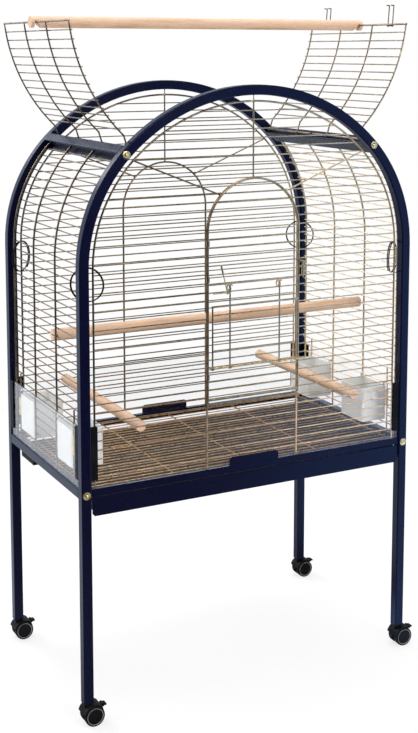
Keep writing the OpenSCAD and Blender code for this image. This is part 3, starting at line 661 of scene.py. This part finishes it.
@dataclass(frozen=True)
class Moulding(Skin):
    """Moulded plastic or rubber with a faintly clouded colour.

    Attributes:
        shades: Clouds of the second colour per metre.
    """

    shades: float = 25.0

    def pattern(self, shader: Shader, speck: Socket) -> Socket:
        """Share of the second colour: wide clouds."""
        return self.cloudy(shader, self.shades, (0.0, 1.0))


@dataclass(frozen=True)
class PlatedWire(Finish):
    """Brass plated wire or fitting, a little tarnished, and on some panels painted paler towards
    the right as painted light.

    Attributes:
        colour: Colour of clean plating.
        tarnish: Colour of tarnished plating.
        stain: Least and most tarnish.
        stains: Stains per metre.
        roughness: Lowest and highest roughness.
        clouds: Clouds of roughness per metre.
        drawn: Marks of drawing per metre.
        relief: Strength of the marks.
        depth: Depth of the marks in metres.
        pale: Clean and tarnished colour of the painted light at the right, where the wires are
            painted paler as if brightly lit.
        painted_light_span: X where the painted light starts and is full, or None for none.
    """

    colour: Colour = (0.30, 0.215, 0.13)
    tarnish: Colour = (0.14, 0.098, 0.064)
    stain: Span = (0.0, 0.9)
    stains: float = 38.0
    roughness: Span = (0.24, 0.38)
    clouds: float = 90.0
    drawn: float = 1800.0
    relief: float = 0.12
    depth: float = 0.00002
    # Colours of the painted light: wires at the right are painted paler, standing in for bright
    # light falling there.
    pale: tuple[Colour, Colour] = ((0.95, 0.70, 0.42), (0.60, 0.44, 0.27))
    painted_light_span: Span | None = None

    def surface(self, shader: Shader) -> bpy.types.Node:
        """Fill the tree and return its surface shader."""
        stain = self.cloudy(shader, self.stains, self.stain)
        drawn = shader.group(Effects.peel(), {"Scale": self.drawn}).outputs
        colour = shader.mix(stain, self.colour, self.tarnish)
        # Painted light: towards the right the colour blends into the pale colours, standing in
        # for bright light on those wires.
        if self.painted_light_span is not None:
            across = shader.node("SeparateXYZ", {0: shader.place()}).outputs["X"]
            fade = shader.remap(across, self.painted_light_span)
            colour = shader.mix(fade, colour, shader.mix(stain, *self.pale))
        return shader.node(
            "BsdfPrincipled",
            {
                "Base Color": colour,
                "Metallic": 1.0,
                "Roughness": self.cloudy(shader, self.clouds, self.roughness),
                "Normal": shader.bump(drawn["Height"], self.relief, self.depth),
            },
        )


@dataclass(frozen=True)
class Beech(Finish):
    """Sanded beech dowel with fine grain, short dark pores and sawn ends.

    Attributes:
        along: Axis of the grain.
        pale: Colour of the early wood.
        dark: Colour of the late wood.
        pore: Colour of the pores.
        rings: Bands of early and late wood per metre.
        stir: How far the bands are stirred.
        fibres: Fibres per metre.
        fibre_range: Range of the noise that becomes a fibre.
        fibre_most: Most of the wood that a fibre darkens.
        pores: Pores per metre.
        pore_range: Distance from a pore's middle at which it starts and ends to fade.
        pore_most: Most of the wood that a pore hides.
        spots: Spots per metre on a sawn end.
        end_range: Share of the normal along the grain at which an end starts and is full.
        roughness: Lowest and highest roughness.
        clouds: Clouds of roughness per metre.
        relief: Strength of the grain.
        depth: Depth of the grain in metres.
    """

    along: Along = Along.X
    pale: Colour = (0.69, 0.46, 0.315)
    dark: Colour = (0.53, 0.335, 0.205)
    pore: Colour = (0.30, 0.16, 0.08)
    rings: float = 55.0
    stir: float = 0.6
    fibres: float = 620.0
    fibre_range: Span = (0.35, 0.7)
    fibre_most: float = 0.35
    pores: float = 520.0
    pore_range: Span = (0.10, 0.22)
    pore_most: float = 0.6
    spots: float = 900.0
    end_range: Span = (0.7, 0.9)
    roughness: Span = (0.50, 0.68)
    clouds: float = 30.0
    relief: float = 0.25
    depth: float = 0.0002

    def surface(self, shader: Shader) -> bpy.types.Node:
        """Fill the tree and return its surface shader."""
        place = shader.place()
        run = shader.node("Mapping", {"Vector": place, "Scale": self.along.value}).outputs[0]
        fibre = shader.noise(run, self.fibres, detail=2.0)
        pores = shader.node("TexVoronoi", {"Vector": run, "Scale": self.pores}, feature="F1")
        dash = shader.remap(pores.outputs["Distance"], self.pore_range, (self.pore_most, 0.0))
        side = self.long_grain(shader, run, fibre, dash)
        colour = shader.mix(self.sawn(shader), side, self.end_grain(shader, place))
        height = shader.calc("SUBTRACT", fibre, dash)
        return shader.node(
            "BsdfPrincipled",
            {
                "Base Color": colour,
                "Roughness": self.cloudy(shader, self.clouds, self.roughness),
                "Normal": shader.bump(height, self.relief, self.depth),
            },
        )

    def long_grain(self, shader: Shader, run: Socket, fibre: Socket, dash: Socket) -> Socket:
        """Colour of the sides, from the stretched place, the fibres and the pores."""
        rings = shader.noise(run, self.rings, detail=6.0, distortion=self.stir)
        wood = shader.ramp(
            rings,
            ((0.30, self.dark), (0.46, self.pale), (0.56, self.pale), (0.72, self.dark)),
        )
        threads = shader.remap(fibre, self.fibre_range, (0.0, self.fibre_most))
        return shader.mix(dash, shader.mix(threads, wood, self.dark), self.pore)

    def end_grain(self, shader: Shader, place: Socket) -> Socket:
        """Colour of the spotted ends at a place."""
        spots = shader.noise(place, self.spots, detail=3.0)
        return shader.ramp(spots, ((0.36, self.dark), (0.60, self.pale)))

    def sawn(self, shader: Shader) -> Socket:
        """Mask of the ends, which look along the grain."""
        normal = shader.node("TexCoord").outputs["Normal"]
        facing = shader.calc("ABSOLUTE", shader.dot(normal, self.along.unit))
        return shader.remap(facing, self.end_range)


@dataclass(frozen=True)
class Acrylic(Finish):
    """Clear polished sheet with faint wiping marks.

    Attributes:
        tint: Colour of the light that passes.
        roughness: Lowest and highest roughness.
        wipes: Wiping marks per metre.
        bend: How strongly it bends light.
    """

    tint: Colour = (0.965, 0.97, 0.98)
    roughness: Span = (0.0, 0.03)
    wipes: float = 26.0
    bend: float = 1.45

    def surface(self, shader: Shader) -> bpy.types.Node:
        """Fill the tree and return its surface shader."""
        sheet = shader.node(
            "BsdfPrincipled",
            {
                "Base Color": (*self.tint, 1.0),
                "Roughness": self.cloudy(shader, self.wipes, self.roughness),
                "IOR": self.bend,
                "Transmission Weight": 1.0,
            },
        )
        clear = shader.node("BsdfTransparent", {"Color": (*self.tint, 1.0)})
        shadow = shader.node("LightPath").outputs["Is Shadow Ray"]
        return shader.node("MixShader", {0: shadow, 1: sheet.outputs[0], 2: clear.outputs[0]})


NAVY = PowderCoat("navy_powder_coat")
TRAY_COAT = PowderCoat(
    "dark_tray_coat", colour=(0.011, 0.009, 0.008), second=(0.018, 0.015, 0.013),
    roughness=(0.5, 0.62), grain=700.0, shine=0.07, tint=(1.0, 0.95, 0.9),
)
WIRE = PlatedWire("brass_plated_wire")
# Painted light: these two wire finishes are painted paler towards the right, standing in for
# bright light on the right-hand wires.
FRONT_WIRE_PAINTED_LIGHT = PlatedWire("front_plated_wire", painted_light_span=(-0.2, 0.25))
REAR_WIRE_PAINTED_LIGHT = PlatedWire("rear_plated_wire", painted_light_span=(0.1, 0.45))
GRATE = PlatedWire(
    "bright_grate_wire", colour=(0.60, 0.36, 0.165), tarnish=(0.34, 0.19, 0.085),
    roughness=(0.25, 0.36),
)
BOLT_BRASS = PlatedWire(
    "satin_bolt_brass", colour=(0.95, 0.70, 0.34), tarnish=(0.80, 0.54, 0.23),
    roughness=(0.25, 0.36),
)
BRASS = PlatedWire(
    "bright_brass", colour=(0.92, 0.70, 0.38), tarnish=(0.74, 0.52, 0.26),
    roughness=(0.18, 0.32),
)
BEECH_X = Beech("beech_along_x", Along.X)
BEECH_Y = Beech("beech_along_y", Along.Y)
BLACK_STEEL = Moulding(
    "gloss_black_ring", colour=(0.004, 0.004, 0.005), second=(0.008, 0.008, 0.009),
    roughness=(0.25, 0.36), dust=0.02,
)
BLACK = Moulding("black_moulding")
WHITE = Moulding(
    "white_moulding", colour=(0.86, 0.86, 0.84), second=(0.82, 0.82, 0.79),
    roughness=(0.28, 0.4), shine=0.5, dust=0.05,
)
RUBBER = Moulding(
    "wheel_tread", colour=(0.009, 0.009, 0.009), roughness=(0.5, 0.66), grain=900.0, dust=0.04
)
DISC = Moulding(
    "wheel_disc", colour=(0.004, 0.004, 0.005), second=(0.008, 0.008, 0.009),
    roughness=(0.22, 0.34),
)
# Painted highlight: the raised ring on each wheel disc is painted pale grey to stand in for the
# light caught on its edge.
DISC_RING_PAINTED_HIGHLIGHT = Moulding(
    "disc_ring", colour=(0.24, 0.24, 0.25), second=(0.30, 0.30, 0.31), roughness=(0.2, 0.3),
    dust=0.05,
)
CLEAR = Acrylic("clear_sheet")
WHEEL_FINISHES = {Paint.TREAD: RUBBER, Paint.DISC: DISC, Paint.RING: DISC_RING_PAINTED_HIGHLIGHT}


# Sub-assemblies


@dataclass
class Assembly:
    """Base of every sub-assembly.

    Attributes:
        made: The pieces that build has modelled, by a short name.
    """

    made: dict[str, Object] = field(default_factory=dict, init=False)

    def build(self) -> None:
        """Model the meshes and say what they ride on."""
        raise NotImplementedError

    def dress(self) -> None:
        """Give every mesh its finish."""
        raise NotImplementedError

    @staticmethod
    def dress_nodes(finish: Finish, *nodes: str) -> None:
        """Give CAD nodes that show as they are one finish."""
        for node in nodes:
            finish.put_on(frame["nodes"][node])

    def dress_made(self, finish: Finish, slot: Slot, *names: str) -> None:
        """Give the named modelled pieces, or all of them, one finish."""
        for name in names or self.made:
            finish.put_on(self.made[name])


@dataclass
class SteelFrame(Assembly):
    """Arches, roof beams, rails, plugs and bolts with cup washers.

    Attributes:
        tubes: CAD nodes with the powder coat.
        bolts: X and Z of the bolts on the right.
        face: Distance of an arch's outer face from the middle.
        washer: Outer radius of a washer.
        thick: Thickness of its rim.
        facets: Facets round it.
        rim: Rounding of its rim.
        rim_segments: Facets across the rounding.
        cup: Steps of its cup.
    """

    tubes: tuple[str, ...] = (
        "front_arch", "rear_arch", "left_beam", "right_beam", "left_side_rail",
        "right_side_rail", "front_rail", "rear_rail",
    )
    bolts: tuple[Span, ...] = ((0.4525, 0.5725), (0.3447, 1.3702))
    face: float = 0.2675
    washer: float = 0.0095
    thick: float = 0.0014
    facets: int = 48
    rim: float = 0.0005
    rim_segments: int = 3
    cup: tuple[Cut, ...] = (Cut(0.0012, 0.0002), Cut(0.0010, -0.0006), Cut(0.0006, 0.0))

    def build(self) -> None:
        """Press one washer and copy it to every bolt."""
        first = Bench.disc(self.washer, self.thick, self.facets)
        Bench.turn(first, -1, self.rim, self.rim_segments, self.cup)
        for row, (x, z) in enumerate(self.bolts):
            for corner in Corner:
                side_x, side_y = corner.value
                name = f"washer_{row}_{corner.name}"
                washer = Bench.twin(first)
                washer.rotation_euler = (0.0, 0.0, math.pi if side_y > 0 else 0.0)
                washer.location = (side_x * x, side_y * (self.face + self.thick / 2), z)
                self.made[name] = Bench.settle(washer, name, Bench.TURNED)
                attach(washer, "frame")
        bpy.data.objects.remove(first)

    def dress(self) -> None:
        """Coat the tubes and give bolts and washers their brass."""
        self.dress_nodes(NAVY, *self.tubes)
        self.dress_nodes(BLACK, "leg_plugs")
        self.dress_nodes(BOLT_BRASS, "frame_bolts")
        self.dress_made(BOLT_BRASS, Slot.BRASS)


@dataclass
class WirePanels(Assembly):
    """Wire panels, roof flaps, door, grate and hatch, with curls on the hatch's uprights.

    Attributes:
        plain: CAD nodes with the same plating all over.
        front: CAD nodes whose wires carry painted light, painted paler towards the right.
        fittings: CAD nodes of bright brass.
        upright: Distance of a hatch's upright from the middle.
        back: Place of a curl's middle on Y.
        height: Height of a curl's middle.
        curl: Size of a curl.
    """

    plain: tuple[str, ...] = (
        "left_panel", "left_flap", "right_flap", "flap_hooks", "left_hinge_rod",
        "right_hinge_rod",
    )
    front: tuple[str, ...] = ("front_panel", "right_panel", "main_door", "hatch")
    fittings: tuple[str, ...] = ("feeder_sleeves", "door_latch", "hatch_rod", "hatch_lever")
    upright: float = 0.070
    back: float = -0.26035
    height: float = 1.0353
    curl: Coil = Coil(radius=0.0062, wire=0.0034, pitch=0.0072, turns=1.6, sides=12, steps=36)

    def build(self) -> None:
        """Wind a curl for each upright of the hatch."""
        for side, sign in (("left", -1), ("right", 1)):
            curl = self.curl.wind()
            curl.rotation_euler = (0.0, QUARTER, 0.0)
            curl.location = (sign * self.upright, self.back, self.height)
            self.made[side] = Bench.settle(curl, f"hatch_curl_{side}", Bench.WOUND)
            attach(curl, "hatch_door")

    def dress(self) -> None:
        """Plate the wires and the fittings."""
        self.dress_nodes(WIRE, *self.plain)
        # The front, right and rear panels, the door, the hatch and the curls get painted light,
        # paler towards the right.
        self.dress_nodes(FRONT_WIRE_PAINTED_LIGHT, *self.front)
        self.dress_nodes(REAR_WIRE_PAINTED_LIGHT, "rear_panel")
        self.dress_nodes(GRATE, "floor_grate")
        self.dress_nodes(BRASS, *self.fittings)
        self.dress_made(FRONT_WIRE_PAINTED_LIGHT, Slot.WIRE)


@dataclass
class CornerRings(Assembly):
    """Double wound rings that tie the panels together in the corners.

    Attributes:
        middle: Middle of the ring at the rear right.
        axis: Direction of that ring's axis in degrees.
        ring: Size of a ring.
    """

    middle: Place = (0.432175, 0.232466, 1.0685)
    axis: float = -131.112
    ring: Coil = Coil(radius=0.040, wire=0.0032, pitch=0.0039, turns=1.9, sides=14, steps=72)

    def build(self) -> None:
        """Wind one ring for each corner."""
        for corner in Corner:
            self.made[corner.name] = self.wind(corner)
            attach(self.made[corner.name], "frame")
        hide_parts("corner_rings")

    def wind(self, corner: Corner) -> Object:
        """Wind a ring and mirror it into its corner.

        Args:
            corner: The ring's corner.

        Returns:
            The ring in its place.
        """
        ring = self.ring.wind()
        ring.rotation_euler = (0.0, QUARTER, math.radians(self.axis))
        ring.location = self.middle
        Bench.fix(ring)
        ring.scale = (*corner.value, 1.0)
        Bench.fix(ring)
        with Bench.editing(ring):
            bpy.ops.mesh.select_all(action="SELECT")
            bpy.ops.mesh.normals_make_consistent(inside=False)
        return Bench.settle(ring, f"ring_{corner.name}", Bench.WOUND)

    def dress(self) -> None:
        """Blacken the rings."""
        self.dress_made(BLACK_STEEL, Slot.RING)


@dataclass
class Perches(Assembly):
    """Beech dowels with softened ends.

    Attributes:
        round_by: Rounding of the ends.
        across: Dowels along X.
        deep: Dowels along Y.
    """

    round_by: float = 0.0014
    across: tuple[str, ...] = ("long_perch", "play_perch")
    deep: tuple[str, ...] = ("left_perch", "right_perch")

    def build(self) -> None:
        """Round each dowel."""
        for node in (*self.across, *self.deep):
            self.made[node] = Bench.merged(node, f"{node}_dowel", self.round_by)

    def dress(self) -> None:
        """Give each dowel its grain."""
        self.dress_made(BEECH_X, Slot.BEECH, *self.across)
        self.dress_made(BEECH_Y, Slot.BEECH, *self.deep)


@dataclass
class FoodCups(Assembly):
    """Moulded cups that hang in the side panels.

    Attributes:
        round_by: Rounding of the moulded edges.
    """

    round_by: float = 0.0008

    def build(self) -> None:
        """Round the cups' edges."""
        for corner in Corner:
            node = f"cup_{corner.name}"
            self.made[node] = Bench.merged(node, f"moulded_{node}", self.round_by)

    def dress(self) -> None:
        """Dress the cups in white."""
        self.dress_made(WHITE, Slot.WHITE)


@dataclass
class SeedGuards(Assembly):
    """Clear guards in their black channels.

    Attributes:
        polish: Rounding of a guard's polished edges.
        round_by: Rounding of a channel's edges.
        guards: CAD nodes of the guards.
        channels: CAD node of the channels.
    """

    polish: float = 0.0004
    round_by: float = 0.0005
    guards: tuple[str, ...] = ("front_guard", "rear_guard", "left_guard", "right_guard")
    channels: str = "guard_channels"

    def build(self) -> None:
        """Polish the guards and round the channels."""
        for node in self.guards:
            self.made[node] = Bench.merged(node, f"{node}_sheet", self.polish)
        self.made[self.channels] = Bench.merged(
            self.channels, "moulded_channels", self.round_by
        )

    def dress(self) -> None:
        """Clear the guards and blacken the channels."""
        self.dress_made(CLEAR, Slot.CLEAR, *self.guards)
        self.dress_made(BLACK, Slot.BLACK, self.channels)


@dataclass
class TrayUnit(Assembly):
    """Tray, its front and its runners.

    Attributes:
        round_by: Rounding of the sheet's edges.
    """

    round_by: float = 0.0005

    def build(self) -> None:
        """Round the folded sheet."""
        for node in ("tray", "drawer_front"):
            self.made[node] = Bench.merged(node, f"folded_{node}", self.round_by)

    def dress(self) -> None:
        """Coat the tray, its front and its runners."""
        self.dress_made(TRAY_COAT, Slot.TRAY, "tray")
        self.dress_made(NAVY, Slot.NAVY, "drawer_front")
        self.dress_nodes(TRAY_COAT, "drawer_runners")


@dataclass
class Casters(Assembly):
    """Twin wheel casters with hoods and brake levers.

    Attributes:
        post: Distance of a post's middle from the cage's middle on X and Y.
        trail: Distance of the axle from the stem.
        axle_z: Height of the axle.
        radius: Radius of a wheel.
        width: Width of a wheel.
        middle: Distance of a wheel's middle from the caster's middle.
        facets: Facets round a wheel.
        rim: Rounding of its tread.
        rim_segments: Facets across the rounding.
        steps: Steps of its disc, from the tread to the hub; the third step raises a ring that is
            painted pale grey as a painted highlight on its edge.
        axle: Radius of the axle.
        axle_facets: Facets round the axle.
        round_by: Rounding of the moulded edges.
    """

    post: Span = (0.4525, 0.255)
    trail: float = 0.0125
    axle_z: float = 0.025
    radius: float = 0.025
    width: float = 0.014
    middle: float = 0.01275
    facets: int = 72
    rim: float = 0.0022
    rim_segments: int = 4
    steps: tuple[Cut, ...] = (
        # The third step raises the ring that is painted pale grey as a painted highlight.
        Cut(0.0014, 0.0, Paint.DISC), Cut(0.0004, -0.0006), Cut(0.0005, 0.0009, Paint.RING),
        Cut(0.0009, 0.0), Cut(0.0004, -0.0009, Paint.DISC), Cut(0.0060, 0.0006),
        Cut(0.0050, 0.0004), Cut(0.0006, -0.0006), Cut(0.0020, 0.0), Cut(0.0004, 0.0008),
    )
    axle: float = 0.003
    axle_facets: int = 24
    round_by: float = 0.0005

    def build(self) -> None:
        """Turn the wheels and round the moulded hoods and levers."""
        for corner in Corner:
            wheels = self.wheel_pair(corner)
            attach(wheels, f"wheel_pair_{corner.name}")
            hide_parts(f"wheels_{corner.name}")
            for node in (f"fork_{corner.name}", f"brake_{corner.name}"):
                self.made[node] = Bench.merged(node, f"moulded_{node}", self.round_by)

    def dress(self) -> None:
        """Blacken the hoods and levers, since the wheels are painted as they are cut."""
        self.dress_made(BLACK, Slot.BLACK)

    def wheel(self, facing: int) -> Object:
        """Turn one wheel with a rounded tread and a stepped disc.

        Args:
            facing: -1 for the wheel on the front side, 1 for the one on the rear side.

        Returns:
            The wheel about the origin.
        """
        wheel = Bench.disc(self.radius, self.width, self.facets, facing * self.middle)
        for paint in Paint:
            wheel.data.materials.append(WHEEL_FINISHES[paint].material())
        Bench.turn(wheel, facing, self.rim, self.rim_segments, self.steps)
        return wheel

    def wheel_pair(self, corner: Corner) -> Object:
        """Join two wheels and their axle.

        Args:
            corner: The caster's corner.

        Returns:
            The pair in its place.
        """
        pair, other = (self.wheel(facing) for facing in (-1, 1))
        axle = Bench.disc(self.axle, 2 * self.middle, self.axle_facets)
        axle.data.materials.append(BLACK_STEEL.material())
        other.select_set(True)
        pair.select_set(True)
        bpy.context.view_layer.objects.active = pair
        bpy.ops.object.join()
        side_x, side_y = corner.value
        pair.location = (
            side_x * self.post[0] + self.trail, side_y * self.post[1], self.axle_z
        )
        Bench.settle(pair, f"turned_wheels_{corner.name}", Bench.TURNED)
        return pair


# Studio


@dataclass(frozen=True)
class Lamp:
    """A square soft lamp.

    Attributes:
        name: Its name.
        place: Its place.
        size: Side of its square.
        power: Its power in watts.
    """

    name: str
    place: Place
    size: float
    power: float

    def hang(self, aim: Place) -> None:
        """Add the lamp and aim it at a point."""
        bpy.ops.object.light_add(type="AREA", location=self.place)
        lamp = bpy.context.object
        lamp.name = self.name
        lamp.data.size = self.size
        lamp.data.energy = self.power
        lamp.rotation_mode = "QUATERNION"
        lamp.rotation_quaternion = (Vector(aim) - Vector(self.place)).to_track_quat("-Z", "Y")


@dataclass
class Studio:
    """Camera, lamps, floor and backdrop.

    Attributes:
        eye: Place of the camera.
        yaw: Turn of the camera to the right of +Y in degrees.
        pitch: Tilt of the camera below the horizon in degrees.
        lens_px: Focal length in pixels.
        long_side: Long side of the picture in pixels.
        sensor: Width of the camera's sensor in millimetres.
        shift: Shift of the picture's frame, as a share of its long side.
        lamps: The lamps.
        aim: The point that they look at.
        soft: Strength of the room's soft light.
        floor_size: Side of the floor.
        floor_grey: Colour of the floor.
        glare: Distance from the middle, and the share of plain white that the floor shows there.
        bright_side: Direction in which the mirrored room is brightest.
        shine: Share of a ray along it, and the room's strength there.
        cool: Colour of the mirrored room.
        blue_side: Direction of the mirrored blue window.
        window: Share of a ray along it, and the window's strength there.
        blue: Colour of the window.
    """

    eye: Place = (-1.512, -2.931, 1.609)
    yaw: float = 27.42
    pitch: float = 6.98
    lens_px: float = 1262.0
    long_side: float = 733.0
    sensor: float = 36.0
    shift: float = -0.22
    lamps: tuple[Lamp, ...] = (
        Lamp("key_lamp", (-2.4, 4.0, 4.2), 2.4, 150.0),
        Lamp("side_lamp", (-4.2, 0.2, 3.0), 2.4, 50.0),
        Lamp("top_lamp", (0.4, 0.2, 4.6), 3.0, 110.0),
        Lamp("front_lamp", (0.6, -4.4, 2.4), 0.8, 50.0),
    )
    aim: Place = (0.0, 0.0, 0.9)
    soft: float = 0.76
    floor_size: float = 40.0
    floor_grey: Colour = (0.9, 0.9, 0.9)
    glare: tuple[Span, Span] = ((0.6, 2.4), (0.72, 1.0))
    bright_side: Place = (-0.46, 0.88, 0.1)
    shine: tuple[Span, Span] = ((0.0, 0.9), (0.05, 1.0))
    cool: Colour = (0.74, 0.85, 1.0)
    blue_side: Place = (0.84, -0.54, 0.04)
    window: tuple[Span, Span] = ((0.79, 1.0), (0.0, 2.2))
    blue: Colour = (0.36, 0.6, 1.0)

    def build(self) -> None:
        """Set up the whole studio."""
        self.camera()
        for lamp in self.lamps:
            lamp.hang(self.aim)
        self.floor()
        self.world()
        bpy.context.scene.view_settings.view_transform = "Standard"

    def camera(self) -> None:
        """Place the camera at the photograph's angle."""
        tilt = math.radians(90.0 - self.pitch)
        bpy.ops.object.camera_add(
            location=self.eye, rotation=(tilt, 0.0, math.radians(-self.yaw))
        )
        camera = bpy.context.object
        camera.data.sensor_width = self.sensor
        camera.data.lens = self.lens_px / self.long_side * self.sensor
        camera.data.shift_y = self.shift
        bpy.context.scene.camera = camera

    def room(self, shader: Shader, ray: Socket) -> tuple[Socket, Socket]:
        """Describe the light that glossy faces mirror from each direction.

        Args:
            shader: Tree to add to.
            ray: Direction of the mirrored ray.

        Returns:
            The strength and the colour of the light.
        """
        shine = shader.remap(shader.dot(ray, self.bright_side), *self.shine)
        window = shader.remap(shader.dot(ray, self.blue_side), *self.window)
        colour = shader.mix(window, self.cool, self.blue)
        return shader.calc("MAXIMUM", shine, window), colour

    def floor(self) -> None:
        """Lay a plain pale floor that keeps a soft shadow."""
        bpy.ops.mesh.primitive_plane_add(size=self.floor_size)
        floor = bpy.context.object
        floor.name = "floor"
        made = bpy.data.materials.new("studio_floor")
        shader = Shader.of(made)
        path = shader.node("LightPath").outputs
        glossy, passing = path["Is Glossy Ray"], path["Is Transmission Ray"]
        place = shader.place()
        ray = shader.node("VectorMath", {0: place}, operation="NORMALIZE").outputs[0]
        room, tone = self.room(shader, ray)
        mirrored = shader.calc("SUBTRACT", glossy, passing, clamp=True)
        glow = shader.node(
            "Emission",
            {
                "Color": shader.mix(mirrored, WHITE_LIGHT, tone),
                "Strength": shader.blend(mirrored, 1.0, room),
            },
        )
        seen = shader.calc("MAXIMUM", path["Is Camera Ray"], glossy)
        away = shader.node("VectorMath", {0: place}, operation="LENGTH").outputs["Value"]
        share = shader.calc(
            "MULTIPLY", shader.calc("MAXIMUM", seen, passing), shader.remap(away, *self.glare)
        )
        matte = shader.node("BsdfDiffuse", {"Color": (*self.floor_grey, 1.0)})
        both = shader.node("MixShader", {0: share, 1: matte.outputs[0], 2: glow.outputs[0]})
        shader.node("OutputMaterial", {"Surface": both.outputs[0]})
        floor.data.materials.append(made)

    def world(self) -> None:
        """Light the room softly and show white behind the cage."""
        world = bpy.data.worlds.new("studio")
        bpy.context.scene.world = world
        shader = Shader.of(world)
        path = shader.node("LightPath").outputs
        glossy = path["Is Glossy Ray"]
        room, tone = self.room(shader, shader.node("TexCoord").outputs["Generated"])
        plain = shader.calc("MAXIMUM", path["Is Camera Ray"], path["Is Transmission Ray"])
        mirrored = shader.calc("SUBTRACT", glossy, plain, clamp=True)
        sky = shader.node(
            "Background",
            {
                "Color": shader.mix(mirrored, WHITE_LIGHT, tone),
                "Strength": shader.calc(
                    "MAXIMUM", shader.blend(glossy, self.soft, room), plain
                ),
            },
        )
        shader.node("OutputWorld", {"Surface": sky.outputs[0]})


def main() -> None:
    """Build and dress every sub-assembly and set up the studio."""
    logging.basicConfig(level=logging.INFO, format="%(name)s: %(message)s")
    assemblies: tuple[Assembly, ...] = (
        SteelFrame(), WirePanels(), CornerRings(), Perches(), FoodCups(), SeedGuards(),
        TrayUnit(), Casters(),
    )
    for assembly in assemblies:
        log.info("building %s", type(assembly).__name__)
        assembly.build()
        assembly.dress()
    Studio().build()


if __name__ == "__main__":
    main()
